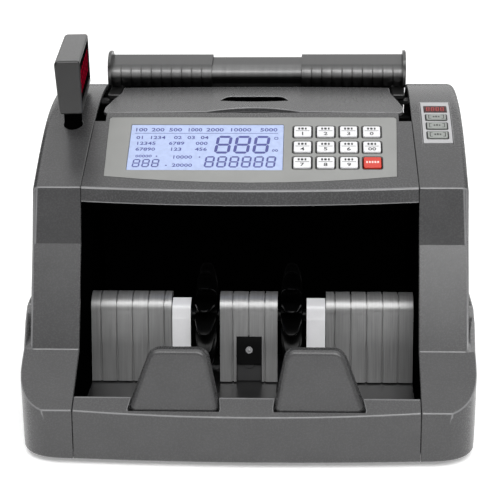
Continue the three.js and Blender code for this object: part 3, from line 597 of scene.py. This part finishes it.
# ---- Places on the sloping parts ----
NOSE = (78.2, 158.3)  # y and z of the panel's lower edge
PANEL_TOP = (141, 189.6)
PANEL_SLOPE = math.atan2(PANEL_TOP[1] - NOSE[1], PANEL_TOP[0] - NOSE[0])
ROOF_KNOTS = (NOSE, (130.2, 187.4), (152, 197), (204, 197))  # a cubic curve
SIDE_KEYPAD_X = 123.1


def up_slope(y0, z0, angle, y, z):
    """Where a point is in y and z, given along and off a line that rises by an angle."""
    c, s = math.cos(angle), math.sin(angle)
    return y0 + y * c - z * s, z0 + y * s + z * c


def on_panel(x, y, z):
    return at(x, *up_slope(*NOSE, PANEL_SLOPE, y, z))


def roof_at(y):
    """Height and slope of the side housings' roof line above a y."""
    def point(t):
        weights = ((1 - t) ** 3, 3 * t * (1 - t) ** 2, 3 * t * t * (1 - t), t ** 3)
        return [sum(w * k[i] for w, k in zip(weights, ROOF_KNOTS)) for i in (0, 1)]

    low, high = 0.0, 1.0
    for _ in range(40):
        middle = (low + high) / 2
        low, high = (middle, high) if point(middle)[0] < y else (low, middle)
    before, after = point(low - 0.001), point(low + 0.001)
    return point(low)[1], math.atan2(after[1] - before[1], after[0] - before[0])


def on_roof(centre_y):
    """A place function for the side keypad, with its origin on the roof line at a y."""
    height, slope = roof_at(centre_y)
    return lambda x, y, z: at(SIDE_KEYPAD_X + x, *up_slope(centre_y, height, slope, y, z))


def on_face(x0, foot, head):
    """A place function for a leaning face, along it from its foot and out of it to the front."""
    slope = math.atan2(head[1] - foot[1], head[0] - foot[0])
    return lambda x, along, out: at(x0 + x, *up_slope(*foot, slope, along, out))


DISPLAY_YAW = math.radians(4.9)
NECK_ALONG = 35  # from the display's front end to the neck's axis
DISPLAY_AXIS = (-117.7 - NECK_ALONG * math.sin(DISPLAY_YAW),
                100 + NECK_ALONG * math.cos(DISPLAY_YAW))


def on_display(x, y, z):
    c, s = math.cos(DISPLAY_YAW), math.sin(DISPLAY_YAW)
    return at(DISPLAY_AXIS[0] + x * c - y * s, DISPLAY_AXIS[1] + x * s + y * c, z)


# ---- Digits and marks ----
def seven_segment(bm, place, x, y, width, height, stroke, low, high, slant=0.1):
    """An 8 of seven closed bars with pointed ends; x and y are its lower left corner."""
    h, gap = stroke / 2, stroke * 0.12

    def bar(ax, ay, bx, by):
        along = Vector((bx - ax, by - ay)).normalized()
        side = Vector((-along.y, along.x)) * h
        a, b = Vector((ax, ay)) + along * gap, Vector((bx, by)) - along * gap
        tip = along * h
        outline = [a, a + tip - side, b - tip - side, b, b - tip + side, a + tip + side]
        loft(bm, [[place(p.x + p.y * slant - y * slant, p.y, z) for p in outline]
                  for z in (low, high)])

    left, right = x + h, x + width - h
    levels = (y + h, y + height / 2, y + height - h)
    for level in levels:
        bar(left, level, right, level)
    for side in (left, right):
        for lower, upper in zip(levels, levels[1:]):
            bar(side, lower, side, upper)


WIDEST_NUMERAL = 1.25  # how far numerals may be widened, against their height


def numerals(bm, place, text, x, y, width, height, low, high):
    """Plain numerals drawn in a box whose lower left corner is x, y."""
    curve = bpy.data.curves.new("numerals", "FONT")
    curve.body = text
    curve.resolution_u = 2
    curve.extrude = 0.5
    curve.offset = 0.02
    holder = linked("numerals", curve)
    bpy.context.view_layer.update()
    evaluated = holder.evaluated_get(bpy.context.evaluated_depsgraph_get())
    mesh = bpy.data.meshes.new_from_object(evaluated)
    xs, ys = [v.co.x for v in mesh.vertices], [v.co.y for v in mesh.vertices]
    scale_y = height / (max(ys) - min(ys))
    scale_x = min(width / (max(xs) - min(xs)), scale_y * WIDEST_NUMERAL)
    middle = (min(xs) + max(xs)) / 2
    made = []
    for v in mesh.vertices:
        px = x + width / 2 + (v.co.x - middle) * scale_x
        py = y + (v.co.y - min(ys)) * scale_y
        made.append(bm.verts.new(place(px, py, high if v.co.z > 0 else low)))
    for polygon in mesh.polygons:
        bm.faces.new([made[i] for i in polygon.vertices])
    bpy.data.objects.remove(holder)
    bpy.data.curves.remove(curve)
    bpy.data.meshes.remove(mesh)


def bar_mark(bm, place, x, y, width, height, low, high):
    corner = min(width, height) * 0.3
    stack(bm, place, rounded(width, height, corner, x, y, 2), [(0, low), (0, high)])


def frame_mark(bm, place, outline, width, low, high):
    """A flat ring just inside an outline."""
    inner = inset(outline, width)
    looped(bm, [[place(*p, z) for p in points] for points, z in
                ((outline, low), (outline, high), (inner, high), (inner, low))])


# ---- Keypad, screen and their marks ----
KEY_SIZE, KEY_PITCH = (12, 11), (15.25, 15.4)
KEY_FIRST = (33.8, 54.5)  # the first key's middle on the panel
KEY_GAP = (0.5, 0.6)  # between a key's cap and its size
KEY_LEVELS = [(0, -3.2), (0, 0.35), (0.06, 0.6), (0.2, 0.8), (0.42, 0.93), (0.75, 1.0)]
FRAME_MARGIN, FRAME_WIDTH, FRAME_SKIN = 1.9, 0.47, (0.05, 0.14)
LEGENDS = ("1", "2", "3", "0", "4", "5", "6", "00", "7", "8", "9")
LEGEND_SKIN = (0.95, 1.03)  # lowest and highest level of the ink on a cap
LEGEND_BLOCKS = (1.3, 1.7, 1.2)  # widths of the three small blocks over the numeral
NUMERAL_WIDTH = 2.6


def key_legend(x, y, numeral):
    """Three blocks, a rule and a numeral."""
    ink = bmesh.new()
    for k, width in enumerate(LEGEND_BLOCKS):
        bar_mark(ink, on_panel, x - 2.3 + k * 2.2, y + 2.5, width, 2.1, *LEGEND_SKIN)
    bar_mark(ink, on_panel, x, y + 0.3, 9.2, 0.4, *LEGEND_SKIN)
    wide = NUMERAL_WIDTH * len(numeral)
    numerals(ink, on_panel, numeral, x - wide / 2, y - 4.1, wide, 3.3, *LEGEND_SKIN)
    return ink


def start_legend(x, y):
    """A row of five blocks."""
    ink = bmesh.new()
    for k in range(5):
        bar_mark(ink, on_panel, x - 3.6 + k * 1.8, y, 1.15, 2.0, *LEGEND_SKIN)
    return ink


def build_keys():
    frames = bmesh.new()
    for i in range(len(LEGENDS) + 1):
        x = KEY_FIRST[0] + i % 4 * KEY_PITCH[0]
        y = KEY_FIRST[1] - i // 4 * KEY_PITCH[1]
        starts = i == len(LEGENDS)
        node = "start_key" if starts else f"key_{i + 1}"
        body, slot = body_of(node), slot_of(node)
        cap = bmesh.new()
        outline = rounded(KEY_SIZE[0] - KEY_GAP[0], KEY_SIZE[1] - KEY_GAP[1], 1.3, x, y, 5)
        stack(cap, on_panel, outline, KEY_LEVELS)
        new_piece(node + "_cap", cap, body, slot, (node,))
        ink = start_legend(x, y) if starts else key_legend(x, y, LEGENDS[i])
        new_piece(node + "_legend", ink, body, slot, look="white_ink" if starts else "key_ink")
        around = rounded(*(size + FRAME_MARGIN for size in KEY_SIZE), 1.8, x, y, 5)
        frame_mark(frames, on_panel, around, FRAME_WIDTH, *FRAME_SKIN)
    new_piece("key_frames", frames, "chassis", "overlay_film", look="key_frame_ink")


SCREEN_LEFT, SCREEN_WIDTH = -80.9, 102
SCREEN_SKIN = (0.0, 0.05)
SCREEN_ROWS = (  # y, height, then each text with its start and width as shares of the screen's
    (55.1, 3.5, (("100", 0.03, 0.078), ("200", 0.132, 0.088), ("500", 0.247, 0.09),
                 ("1000", 0.377, 0.09), ("2000", 0.492, 0.118), ("10000", 0.637, 0.17),
                 ("5000", 0.84, 0.128))),
    (47.3, 3.2, (("01", 0.03, 0.062), ("1234", 0.118, 0.13), ("02", 0.278, 0.067),
                 ("03", 0.365, 0.067), ("04", 0.453, 0.067))),
    (41.5, 3.2, (("12345", 0.028, 0.164), ("6789", 0.242, 0.13), ("000", 0.42, 0.10))),
    (35.6, 3.2, (("67890", 0.028, 0.158), ("123", 0.252, 0.112), ("456", 0.42, 0.096))),
    (29.0, 2.6, (("00000", 0.028, 0.146),)),
    (27.8, 3.2, (("10000", 0.275, 0.16),)),
    (19.8, 3.2, (("20000", 0.275, 0.16),)),
    (34.8, 2.4, (("00", 0.925, 0.045),)),
)
SCREEN_DIGITS = (  # how many, pitch, then x, y, width, height and stroke of the first
    (3, 12.6, (-24.6, 32.9, 10.4, 17.7, 2.0)),
    (3, 6.3, (-77.8, 19.4, 4.9, 7.9, 0.95)),
    (6, 8.05, (-30.6, 19.2, 6.3, 11.0, 1.25)),
)
SCREEN_DOTS = ((-62.0, 30.2), (-55.2, 21.2), (-33.6, 29.4))


def build_screen():
    refined("lcd_module", 0.3)
    ink = bmesh.new()
    for y, tall, words in SCREEN_ROWS:
        for text, start, share in words:
            x, wide = SCREEN_LEFT + start * SCREEN_WIDTH, share * SCREEN_WIDTH
            numerals(ink, on_panel, text, x, y, wide, tall, *SCREEN_SKIN)
    middle = SCREEN_LEFT + 0.495 * SCREEN_WIDTH
    bar_mark(ink, on_panel, middle, 53.2, 0.94 * SCREEN_WIDTH, 0.35, *SCREEN_SKIN)
    for count, pitch, (x, y, *shape) in SCREEN_DIGITS:
        for i in range(count):
            seven_segment(ink, on_panel, x + i * pitch, y, *shape, *SCREEN_SKIN)
    for x, y in SCREEN_DOTS:
        bar_mark(ink, on_panel, x, y, 1.1, 1.1, *SCREEN_SKIN)
    frame_mark(ink, on_panel, rounded(2.6, 2.6, 0.6, 16.4, 48.2, 2), 0.5, *SCREEN_SKIN)
    new_piece("lcd_segments", ink, "chassis", "lcd_glass", look="lcd_ink")


SIDE_KEY_Y = (142, 132.3, 123)
SIDE_KEY_LEVELS = [(0, -3), (0, 0.4), (0.08, 0.62), (0.3, 0.82), (0.7, 0.9)]
SIDE_SKIN = (0.86, 0.93)
SIDE_LED_Y = 153.4


def side_legend(place):
    """Three blocks between two square brackets."""
    ink = bmesh.new()
    for side in (-1, 1):
        bar_mark(ink, place, side * 5.0, 0, 0.5, 4.6, *SIDE_SKIN)
        for end in (1, -1):
            bar_mark(ink, place, side * 4.2, end * 2.1, 1.6, 0.45, *SIDE_SKIN)
    for k in range(3):
        odd = k % 2
        bar_mark(ink, place, -1.7 + k * 1.7, 0.15 * odd, 1.1, 1.5 + 0.5 * odd, *SIDE_SKIN)
    return ink


def build_side_keypad():
    plate = refined("side_keypad", 0.25)
    plate.data.materials[0] = LOOKS["keypad_film"]
    refined("side_led_window", 0.3)
    frames = bmesh.new()
    for i, y in enumerate(SIDE_KEY_Y):
        node = f"side_key_{i + 1}"
        place, body, slot = on_roof(y), body_of(node), slot_of(node)
        cap = bmesh.new()
        stack(cap, place, rounded(13.2, 6.9, 1.0), SIDE_KEY_LEVELS)
        new_piece(node + "_cap", cap, body, slot, (node,))
        new_piece(node + "_legend", side_legend(place), body, slot, look="key_ink")
        frame_mark(frames, place, rounded(15.0, 8.6, 1.4), 0.45, 0.06, 0.16)
    new_piece("side_key_frames", frames, "chassis", "overlay_film", look="key_frame_ink")
    digits = bmesh.new()
    place = on_roof(SIDE_LED_Y)
    for i in range(4):
        seven_segment(digits, place, -6.2 + i * 3.2, -2.9, 2.3, 5.6, 0.55, 0.08, 0.16, 0.06)
    new_piece("side_led_digits", digits, "chassis", "red_window", look="red_led")


# ---- Customer display ----
DISPLAY_LENGTH, DISPLAY_HALF = 96, 8.4
DISPLAY_LOW, DISPLAY_TOP = 201, 236
DISPLAY_EDGE = 1.6
DISPLAY_RADII = (2.0, 1.8, 1.8, 3.0)  # of the section's corners, all above the edge's rounding
CORNER_STEPS = 5
WINDOW_LOW, WINDOW_TOP = DISPLAY_LOW + 4.5, DISPLAY_TOP - 2.1
WINDOW_RECESS, WINDOW_FROM_ENDS = 2, 2
DISPLAY_DIGITS, DIGIT_PITCH, FIRST_DIGIT = 6, 13.2, 9.5


def build_display():
    front, back = -NECK_ALONG, DISPLAY_LENGTH - NECK_ALONG
    low, top, half = DISPLAY_LOW, DISPLAY_TOP, DISPLAY_HALF
    left, right = -half + 0.75 + 1.4, half - 0.75 + 1.4  # its lower edges, shifted to the right
    corners = [(left, low), (right, low), (half, top), (-half, top)]
    outline = filleted(corners, DISPLAY_RADII, CORNER_STEPS)
    lower_points = 2 * (CORNER_STEPS + 1)

    def side_x(z):
        return right + (half - right) * (z - low) / (top - low)

    def section(y, draw_in, recess):
        points = inset(outline, draw_in)
        notch = [(side_x(WINDOW_LOW), WINDOW_LOW), (side_x(WINDOW_LOW) - recess, WINDOW_LOW),
                 (side_x(WINDOW_TOP) - recess, WINDOW_TOP), (side_x(WINDOW_TOP), WINDOW_TOP)]
        notch = [(x - draw_in, z) for x, z in notch]
        points = points[:lower_points] + notch + points[lower_points:]
        return [on_display(x, y, z) for x, z in points]

    edge = quarter_round(DISPLAY_EDGE, 6)
    loops = [section(front + under, draw_in, 0) for draw_in, under in reversed(edge)]
    starts, ends = front + WINDOW_FROM_ENDS, back - WINDOW_FROM_ENDS
    loops += [section(starts, 0, 0), section(starts, 0, WINDOW_RECESS),
              section(ends, 0, WINDOW_RECESS), section(ends, 0, 0)]
    loops += [section(back - under, draw_in, 0) for draw_in, under in edge]
    shell = bmesh.new()
    loft(shell, loops)
    new_piece("display_shell", shell, "customer_display", "body_plastic", ("display_housing",),
              look="display_plastic")

    def on_axis(x, y, z):
        return at(DISPLAY_AXIS[0] + x, DISPLAY_AXIS[1] + y, z)

    neck = bmesh.new()
    stack(neck, on_axis, arc(0, 0, 6, 0, 345, 23),
          [(0.4, 179), (0, 179.4), (0, 200.6), (0.2, 201.2)])
    # painted shade: the neck, in shadow under the display, takes the black look
    new_piece("display_neck", neck, "customer_display", "body_plastic", ("display_housing",),
              look="black_steel")

    def on_side(y, z, x):
        return on_display(x, y, z)

    pane = bmesh.new()
    middle, tall = (WINDOW_LOW + WINDOW_TOP) / 2, WINDOW_TOP - WINDOW_LOW
    stack(pane, on_side, rounded(91.6, tall - 0.4, 0.8, (front + back) / 2, middle, 3),
          [(0, half - 1.2), (0, half - 0.5), (0.2, half - 0.35)])
    new_piece("display_pane", pane, "customer_display", "red_window", ("display_window",),
              look="black_glass")
    digits = bmesh.new()
    for i in range(DISPLAY_DIGITS):
        x = front + FIRST_DIGIT + i * DIGIT_PITCH
        seven_segment(digits, on_side, x, middle - 7.5, 10.2, 15, 1.8,
                      half - 0.36, half - 0.26, 0.08)
    new_piece("display_digits", digits, "customer_display", "red_window", look="red_digits")


# ---- Hopper and note guides ----
# the bar's upper face in y and z: up its front, round the bend, and down behind
HOPPER_BEND = arc(217.8, 203, 5.6, 215, 100, 22)
HOPPER_LINE = ([(219, 186), (217, 196)] + HOPPER_BEND + arc(233.7, 207.7, 4, 100, 0, 14)
               + [(237.7, 197.2)])
BAR_THICKNESS = 2.5
SEAM_REAR = 106.6  # x of the side housings' inner faces at the rear
GUIDE_FROM, GUIDE_TO, GUIDE_RIBS = 32, 104.2, 9
SLEEVE_OUT, SLEEVE_IN = 2, 0.4  # the sleeve's faces, off the bar's upper face
GROOVE_DEPTH, CROWN_HEIGHT = 0.4, 0.08  # as shares of the sleeve's thickness
FLARE = (1.2, 0.42)  # how far the crowns' two lowest points stand out to the front
END_FIN_FRONT = [(207.2, 197), (211, 194.2), (216, 194.2)]
END_FIN_BACK = [(233.6, 213.6), (231, 216.6), (225, 218.4), (216, 218.2), (209.5, 214),
                (206.8, 207)]


def build_bar():
    bar = bmesh.new()
    half = SEAM_REAR - 0.9
    section = HOPPER_LINE + offset_line(HOPPER_LINE, -BAR_THICKNESS)[::-1]
    extruded(bar, section, (-half, half))
    round_creases(bar, 0.5)
    for side in (-1, 1):  # the blocks that hold it at its ends
        soft_slab(bar, at, rounded(8.8, 27, 1.2, side * 100.4, 205.5), 190.3, 193.3, 0.6)
    new_piece("hopper_bar", bar, "chassis", "body_plastic", ("hopper_tray",),
              look="gloss_plastic_with_painted_highlight")


def guide_stations():
    """Along a sleeve: x, how far it is cut into its grooves, and how far crowned between them."""
    pitch = (GUIDE_TO - GUIDE_FROM) / (GUIDE_RIBS + 1)
    stations = [(GUIDE_FROM, 0.5, 0), (GUIDE_FROM + 0.4, 0, 0.2)]
    for rib in range(GUIDE_RIBS + 1):
        start = GUIDE_FROM + rib * pitch
        stations += [(start + t * pitch, 0, math.sin(t * math.pi)) for t in (0.25, 0.5, 0.75)]
        if rib < GUIDE_RIBS:
            end = start + pitch
            stations += [(end - 0.5, 0, 0.15), (end - 0.25, 0.75, 0), (end, 1, 0),
                         (end + 0.25, 0.75, 0), (end + 0.5, 0, 0.15)]
    return stations + [(GUIDE_TO, 0.3, 0)]


def build_guides():
    covered = HOPPER_LINE[1:-3]
    outer, inner = offset_line(covered, SLEEVE_OUT), offset_line(covered, SLEEVE_IN)

    def ribbing(index):
        """How much of the ribs is left at a point of the section; they fade over the bend."""
        return min(max((len(HOPPER_BEND) - 3 - index) / 8, 0), 1)

    def section(side, x, groove, crown):
        points = []
        for i, ((oy, oz), (iy, iz)) in enumerate(zip(outer, inner)):
            keep = 1 - groove * GROOVE_DEPTH * ribbing(i) + crown * CROWN_HEIGHT * ribbing(i)
            flare = crown * FLARE[i] if i < len(FLARE) else 0
            points.append((iy + (oy - iy) * keep - flare, iz + (oz - iz) * keep))
        return [at(side * x, y, z) for y, z in points + inner[::-1]]

    blade = END_FIN_FRONT + offset_line(covered, 0.5)[1:-1] + END_FIN_BACK
    for side, name in ((1, "right"), (-1, "left")):
        sleeve = bmesh.new()
        loft(sleeve, [section(side, *station) for station in guide_stations()])
        fin = bmesh.new()
        extruded(fin, blade, (side * (GUIDE_TO - 0.2), side * (SEAM_REAR - 0.5)))
        round_creases(fin, 0.45)
        join(sleeve, fin)
        new_piece(f"{name}_note_guide_sleeve", sleeve, f"{name}_guide", "body_plastic",
                  (f"{name}_note_guide",), look="gloss_plastic_with_painted_highlight")


# ---- Stacker bay ----
PLATE_ROLL = (106.5, 65, 11.5)  # y, z and radius of the roll at a plate's top
PLATE_FACE = [(86, 19.4), (90.9, 43.7), (91.4, 46.2), (94.9, 63.5)]
ROLL_SWEEP = (176, 46, 26)  # angles and steps
PLATE_LINE = PLATE_FACE + arc(*PLATE_ROLL, *ROLL_SWEEP)
PLATE_THICKNESS = 3.2
GROOVE_CUT = -1.8
GROOVE_SPREADS = ((False, -0.95), (False, -0.8), (True, -0.7),
                  (True, 0.7), (False, 0.8), (False, 0.95))  # cut or not, and how far from its x
WIDE_POINTS, GROOVE_NARROW = 2, 0.6  # the lowest points are wide, the others this share
NOTCH_TOP = 49.9
PLATES = (  # name, ends, grooves, the notch round the sensor
    ("left", (-108.4, -54), [-101.8 + 10.7 * i for i in range(5)], ()),
    ("right", (50, 108.4), [55.9 + 10.65 * i for i in range(5)], ()),
    ("centre", (-21.3, 17.4), [-12.7, -1.95, 8.8], (-10.3, 6.9)),
)


def raised(points, height):
    """A plate's line with its points below a height moved up to it, along the plate's face."""
    (y0, z0), (y1, z1) = points[0], points[3]
    raised_y = y0 + (y1 - y0) * (height - z0) / (z1 - z0)
    return [(raised_y, height) if z < height else (y, z) for y, z in points]


def build_plate(name, ends, grooves, notch):
    y, z, radius = PLATE_ROLL
    inner = [(y + PLATE_THICKNESS, z) for y, z in PLATE_FACE]
    inner += arc(y, z, radius - PLATE_THICKNESS, *ROLL_SWEEP)
    cut = offset_line(PLATE_LINE, GROOVE_CUT)

    def loop(x, deep=False, spread=0, lift=False):
        outside, inside = cut if deep else PLATE_LINE, inner
        if lift:
            outside, inside = raised(outside, NOTCH_TOP), raised(inside, NOTCH_TOP)
        spreads = [spread if i < WIDE_POINTS else spread * GROOVE_NARROW
                   for i in range(len(outside))]
        return ([at(x + s, y, z) for s, (y, z) in zip(spreads, outside)]
                + [at(x, y, z) for y, z in inside[::-1]])

    events = [(x, "end") for x in ends] + [(x, "groove") for x in grooves]
    events += [(x, "notch") for x in notch]
    loops = []
    for x, kind in sorted(events):
        if kind == "end":
            loops.append(loop(x))
        elif kind == "notch":
            pair = [loop(x), loop(x, lift=True)]
            loops += pair if x == notch[0] else pair[::-1]
        else:
            up = bool(notch) and notch[0] < x < notch[1]
            loops += [loop(x, deep, spread, up) for deep, spread in GROOVE_SPREADS]
    sheet = bmesh.new()
    loft(sheet, loops)
    bmesh.ops.remove_doubles(sheet, verts=sheet.verts, dist=0.003 * MM)
    node = f"stacker_plate_{name}"
    new_piece(node + "_sheet", sheet, "chassis", "body_plastic", (node,), look="brushed_plate_with_painted_light")


# a strip's front face in y and z: up it, then over the bent tab at its top
STRIP_LINE = [(85.2, 23), (92.6, 61.4), (92.9, 62.6), (93.4, 63.4), (94.2, 66.7), (94.7, 68.8),
              (95.4, 70.2), (96.6, 71.1), (104, 73.4)]
STRIP_THICKNESS = 1.1
STRIPS = (("left", (-53.4, -41)), ("right", (37, 49.5)))


def build_strips():
    section = STRIP_LINE + offset_line(STRIP_LINE, -STRIP_THICKNESS)[::-1]
    for name, ends in STRIPS:
        strip = bmesh.new()
        extruded(strip, section, ends)
        round_creases(strip, 0.25)
        node = f"guide_strip_{name}"
        new_piece(node + "_metal", strip, "chassis", "strip_metal", (node,))


SENSOR_X, SENSOR_HALF = -1.7, 8.2
# front and rear faces of the sensor's head and foot, in y and z
SENSOR_HEAD = [(88.8, 31.2), (92.5, 49.5), (99, 49.5), (99, 31.2)]
SENSOR_FOOT = [(88.6, 19.2), (91, 32), (95, 32), (95, 19.2)]
LENS_UP, LENS_RING, LENS_DOME = 9.6, 2.4, 1.0  # up the head's face, and two radii


def build_sensor():
    for name, section, look in (("head", SENSOR_HEAD, None), ("foot", SENSOR_FOOT, "foot_plastic")):
        block = bmesh.new()
        extruded(block, section, (SENSOR_X - SENSOR_HALF, SENSOR_X + SENSOR_HALF))
        round_creases(block, 0.35)
        new_piece(f"sensor_{name}", block, "chassis", "dark_plastic", ("sensor_block",), look)

    lens = bmesh.new()
    on_head = on_face(SENSOR_X, *SENSOR_HEAD[:2])
    stack(lens, on_head, arc(0, LENS_UP, LENS_RING, 0, 337.5, 15),
          [(0, -0.2), (0, 0.25), (0.3, 0.5), (0.8, 0.3)])
    stack(lens, on_head, arc(0, LENS_UP, LENS_DOME, 0, 337.5, 15),
          [(0, 0), (0.1, 0.6), (0.3, 0.85), (0.6, 1.0), (0.85, 1.05)])
    new_piece("sensor_lens", lens, "chassis", "dark_plastic", look="lens")

    boss = bmesh.new()
    on_foot = on_face(SENSOR_X, *SENSOR_FOOT[:2])
    soft_slab(boss, on_foot, arc(0, 12.4, 4.0, 180, 360, 14), -0.2, 0.55, 0.25)
    new_piece("sensor_foot_boss", boss, "chassis", "dark_plastic", look="foot_plastic")


PADDLE_TILT = math.radians(8)
PADDLE_FRONT_Y, PADDLE_PIVOT_Z = 1, 36
PADDLE_THICKNESS = 9
PADDLE_ROUNDING, BACK_ROUNDING = 3.2, 0.7
MIRRORED_FROM = 0.6  # the right stop's x is this minus the left stop's
# the left stop's front face and its larger back face, in x and z, and their corners' radii
PADDLE_FRONT = [(-74.0, 34.2), (-16.96, 34.2), (-24.6, 75.2), (-59.3, 75.2)]
PADDLE_FRONT_RADII = (4.0, 3.4, 7.2, 8.2)
PADDLE_BACK = [(-75.1, 34.2), (-15.9, 34.2), (-24.2, 75.2), (-59.7, 75.2)]
PADDLE_BACK_RADII = (4.0, 3.4, 7.6, 8.6)
PADDLE_LUG_X, PADDLE_LUG = 45, (26, 8.5, 0.8, 0, 33.75)


def build_paddles():
    front = filleted(PADDLE_FRONT, PADDLE_FRONT_RADII, 8)
    back = filleted(PADDLE_BACK, PADDLE_BACK_RADII, 8)

    def leaning(x, y, z):
        z -= PADDLE_PIVOT_Z
        c, s = math.cos(PADDLE_TILT), math.sin(PADDLE_TILT)
        return at(x, PADDLE_FRONT_Y + y * c + z * s, PADDLE_PIVOT_Z - y * s + z * c)

    def loop(outline, draw_in, y, mirror):
        return [leaning(MIRRORED_FROM - x if mirror else x, y, z)
                for x, z in inset(outline, draw_in)]

    def on_lug(side):
        return lambda across, up, along: at(side * PADDLE_LUG_X + across, along, up)

    for mirror, name in ((False, "left"), (True, "right")):
        loops = [loop(back, draw_in, PADDLE_THICKNESS - under, mirror)
                 for draw_in, under in reversed(quarter_round(BACK_ROUNDING, 6))]
        loops += [loop(front, draw_in, under, mirror)
                  for draw_in, under in quarter_round(PADDLE_ROUNDING, 6)]
        blade, lug = bmesh.new(), bmesh.new()
        loft(blade, loops)
        side = 1 if mirror else -1
        soft_slab(lug, on_lug(side), rounded(*PADDLE_LUG, 3), 2, 4.2, 0.3)
        join(blade, lug)
        node = f"stop_paddle_{name}"
        new_piece(node + "_blade", blade, f"{name}_stop", "body_plastic", (node,))


# ---- Impellers ----
IMPELLER_AXIS = (112, 58)
IMPELLERS = (("impeller_left", -31), ("impeller_right", 26.9))
IMPELLER_FINS, FIRST_FIN = 14, 0.07
FIN_PROFILE = (  # radius, half width, half thickness, and how far the fin has swept round
    (11, 7.5, 1.5, 0.0), (15, 7.5, 1.4, 0.05), (19, 7.4, 1.3, 0.11), (23, 7.0, 1.25, 0.18),
    (27, 6.2, 1.2, 0.25), (30, 5.4, 1.1, 0.305), (32.5, 4.7, 1.0, 0.35), (34.3, 3.8, 0.9, 0.385),
    (35.4, 2.8, 0.75, 0.4), (35.95, 1.4, 0.45, 0.41))
HUB_PROFILE = (  # radius and x
    (4.3, -7.5), (11.2, -7.5), (11.8, -6.9), (11.8, 6.9), (11.2, 7.5), (4.3, 7.5))
HUB_STEPS = 40


def build_impellers():
    for node, x0 in IMPELLERS:
        def spun(x, radius, angle):
            return at(x0 + x, IMPELLER_AXIS[0] + radius * math.cos(angle),
                      IMPELLER_AXIS[1] + radius * math.sin(angle))

        wheel = bmesh.new()
        for fin in range(IMPELLER_FINS):
            start = fin * 2 * math.pi / IMPELLER_FINS + FIRST_FIN
            loops = []
            for radius, half_width, half_thick, sweep in FIN_PROFILE:
                ring = rounded(half_width * 2, half_thick * 2, half_thick * 0.85, steps=2)
                loops.append([spun(x, radius, start + sweep + t / radius) for x, t in ring])
            loft(wheel, loops)
        looped(wheel, [[spun(x, r, step * 2 * math.pi / HUB_STEPS) for r, x in HUB_PROFILE]
                       for step in range(HUB_STEPS)])
        new_piece(node + "_wheel", wheel, body_of(node), slot_of(node), (node,))


# ---- Power inlet and switch ----
PINS = ((48.9, 33.2), (63.1, 33.2), (56, 38.6))
PIN_ROOT, PIN_LENGTH = 223, 13


def build_power():
    def in_socket(across, up, out):
        return at(across, PIN_ROOT + out, up)

    refined("power_inlet", 0.4)
    pins = bmesh.new()
    for x, z in PINS:
        soft_slab(pins, in_socket, rounded(4, 2, 0.6, x, z, 2), 0, PIN_LENGTH, 0.4)
    new_piece("inlet_pins", pins, "chassis", "shaft_steel", look="sheet_steel")
    refined("power_switch", 0.4)


# ---- The covers and housings ----
# These pick edges, and faces by their middles, in the CAD source's millimetres.
CREASE_BANDS = ((121.5, 124.5), (57, 62.5))  # heights of the level creases on the columns
CREASE_ABOVE = math.radians(5)
NOSE_REACH, LEVEL_EDGE = 2.9, 0.5


def at_the_nose(edge):
    """The long creases of the control panel cover's nose."""
    points = [source_point(v.co) for v in edge.verts]
    for _, y, z in points:
        along = (y - NOSE[0]) * math.cos(PANEL_SLOPE) + (z - NOSE[1]) * math.sin(PANEL_SLOPE)
        if along > NOSE_REACH:
            return False
    return abs(points[0][0] - points[1][0]) > LEVEL_EDGE


def off_the_foot_step(edge):
    """All but the edge of the tiny step where a column meets its foot."""
    points = [source_point(v.co) for v in edge.verts]
    return not all(43.0 < y < 43.7 and 59.0 < z < 60.0 for _, y, z in points)


def column_crease(edge):
    """The level creases on the front of the side housings, round their corners too."""
    (_, y0, z0), (_, y1, z1) = (source_point(v.co) for v in edge.verts)
    level = any(low < min(z0, z1) and max(z0, z1) < high for low, high in CREASE_BANDS)
    return level and max(y0, y1) < 90 and edge.calc_face_angle() > CREASE_ABOVE


def foot_crease(edge):
    """The inward crease between a column and the top of its foot, which gets a painted highlight.
    """
    points = [source_point(v.co) for v in edge.verts]
    return all(40.5 < y < 41.5 and 60 < z < 61 and abs(x) < 139.5 for x, y, z in points)


def is_rib(centre):
    """On the two ribs under the nose, painted black as shade."""
    x, y, z = centre
    return 87.9 < y < 90.1 and z < 163.6 and abs(x) > 44


def is_slot_wall(centre):
    """On the wall of the lid's finger slot, below its rim, painted black as shade."""
    x, y, z = centre
    return abs(x) < 23.5 and 166 < y < 180.2 and 189 < z < 194.3


def is_trench(centre):
    """On the floor between the note stops' sill and the stacker plates, painted darker as shade."""
    x, y, z = centre
    return 20 < y < 100 and 8 < z < 30 and abs(x) < 107


COVERS = (  # node, what differs in refining it, its look of painted shade and where that is
    # painted shade: the ribs under the nose are painted black
    ("control_panel_cover", {"width": 0.9, "flat": 0.03, "chosen": at_the_nose},
     "black_steel", is_rib),
    # painted shade: the wall of the finger slot is painted black
    ("top_cover", {}, "black_steel", is_slot_wall),
    ("front_cover", {}, "trench_painted_shade", is_trench),
)


def build_housings():
    for side in ("left", "right"):
        refined(f"{side}_side_housing", merge=0.25, chosen=off_the_foot_step,
                crisp=column_crease, lit=foot_crease)


def build_covers():
    for node, how, dark, test in COVERS:
        cover = refined(node, **how)
        cover.data.materials.append(LOOKS[dark])
        # paints the shade on the faces that the test picks
        paint(cover, 2, test)
    refined("panel_overlay", 0)


def build_the_rest():
    """Every node that no piece stands for yet."""
    for name in list(nodes):
        if name not in stood_for:
            piece = refined(name)
            if name == "chute_plate":
                piece.data.materials[0] = LOOKS["black_steel"]


# ---- Assembly ----
make_camera()
make_floor()
make_world()
make_lights()
make_looks()
build_keys()
build_screen()
build_side_keypad()
build_display()
build_bar()
build_guides()
for plate in PLATES:
    build_plate(*plate)
build_strips()
build_sensor()
build_paddles()
build_impellers()
build_power()
build_housings()
build_covers()
build_the_rest()
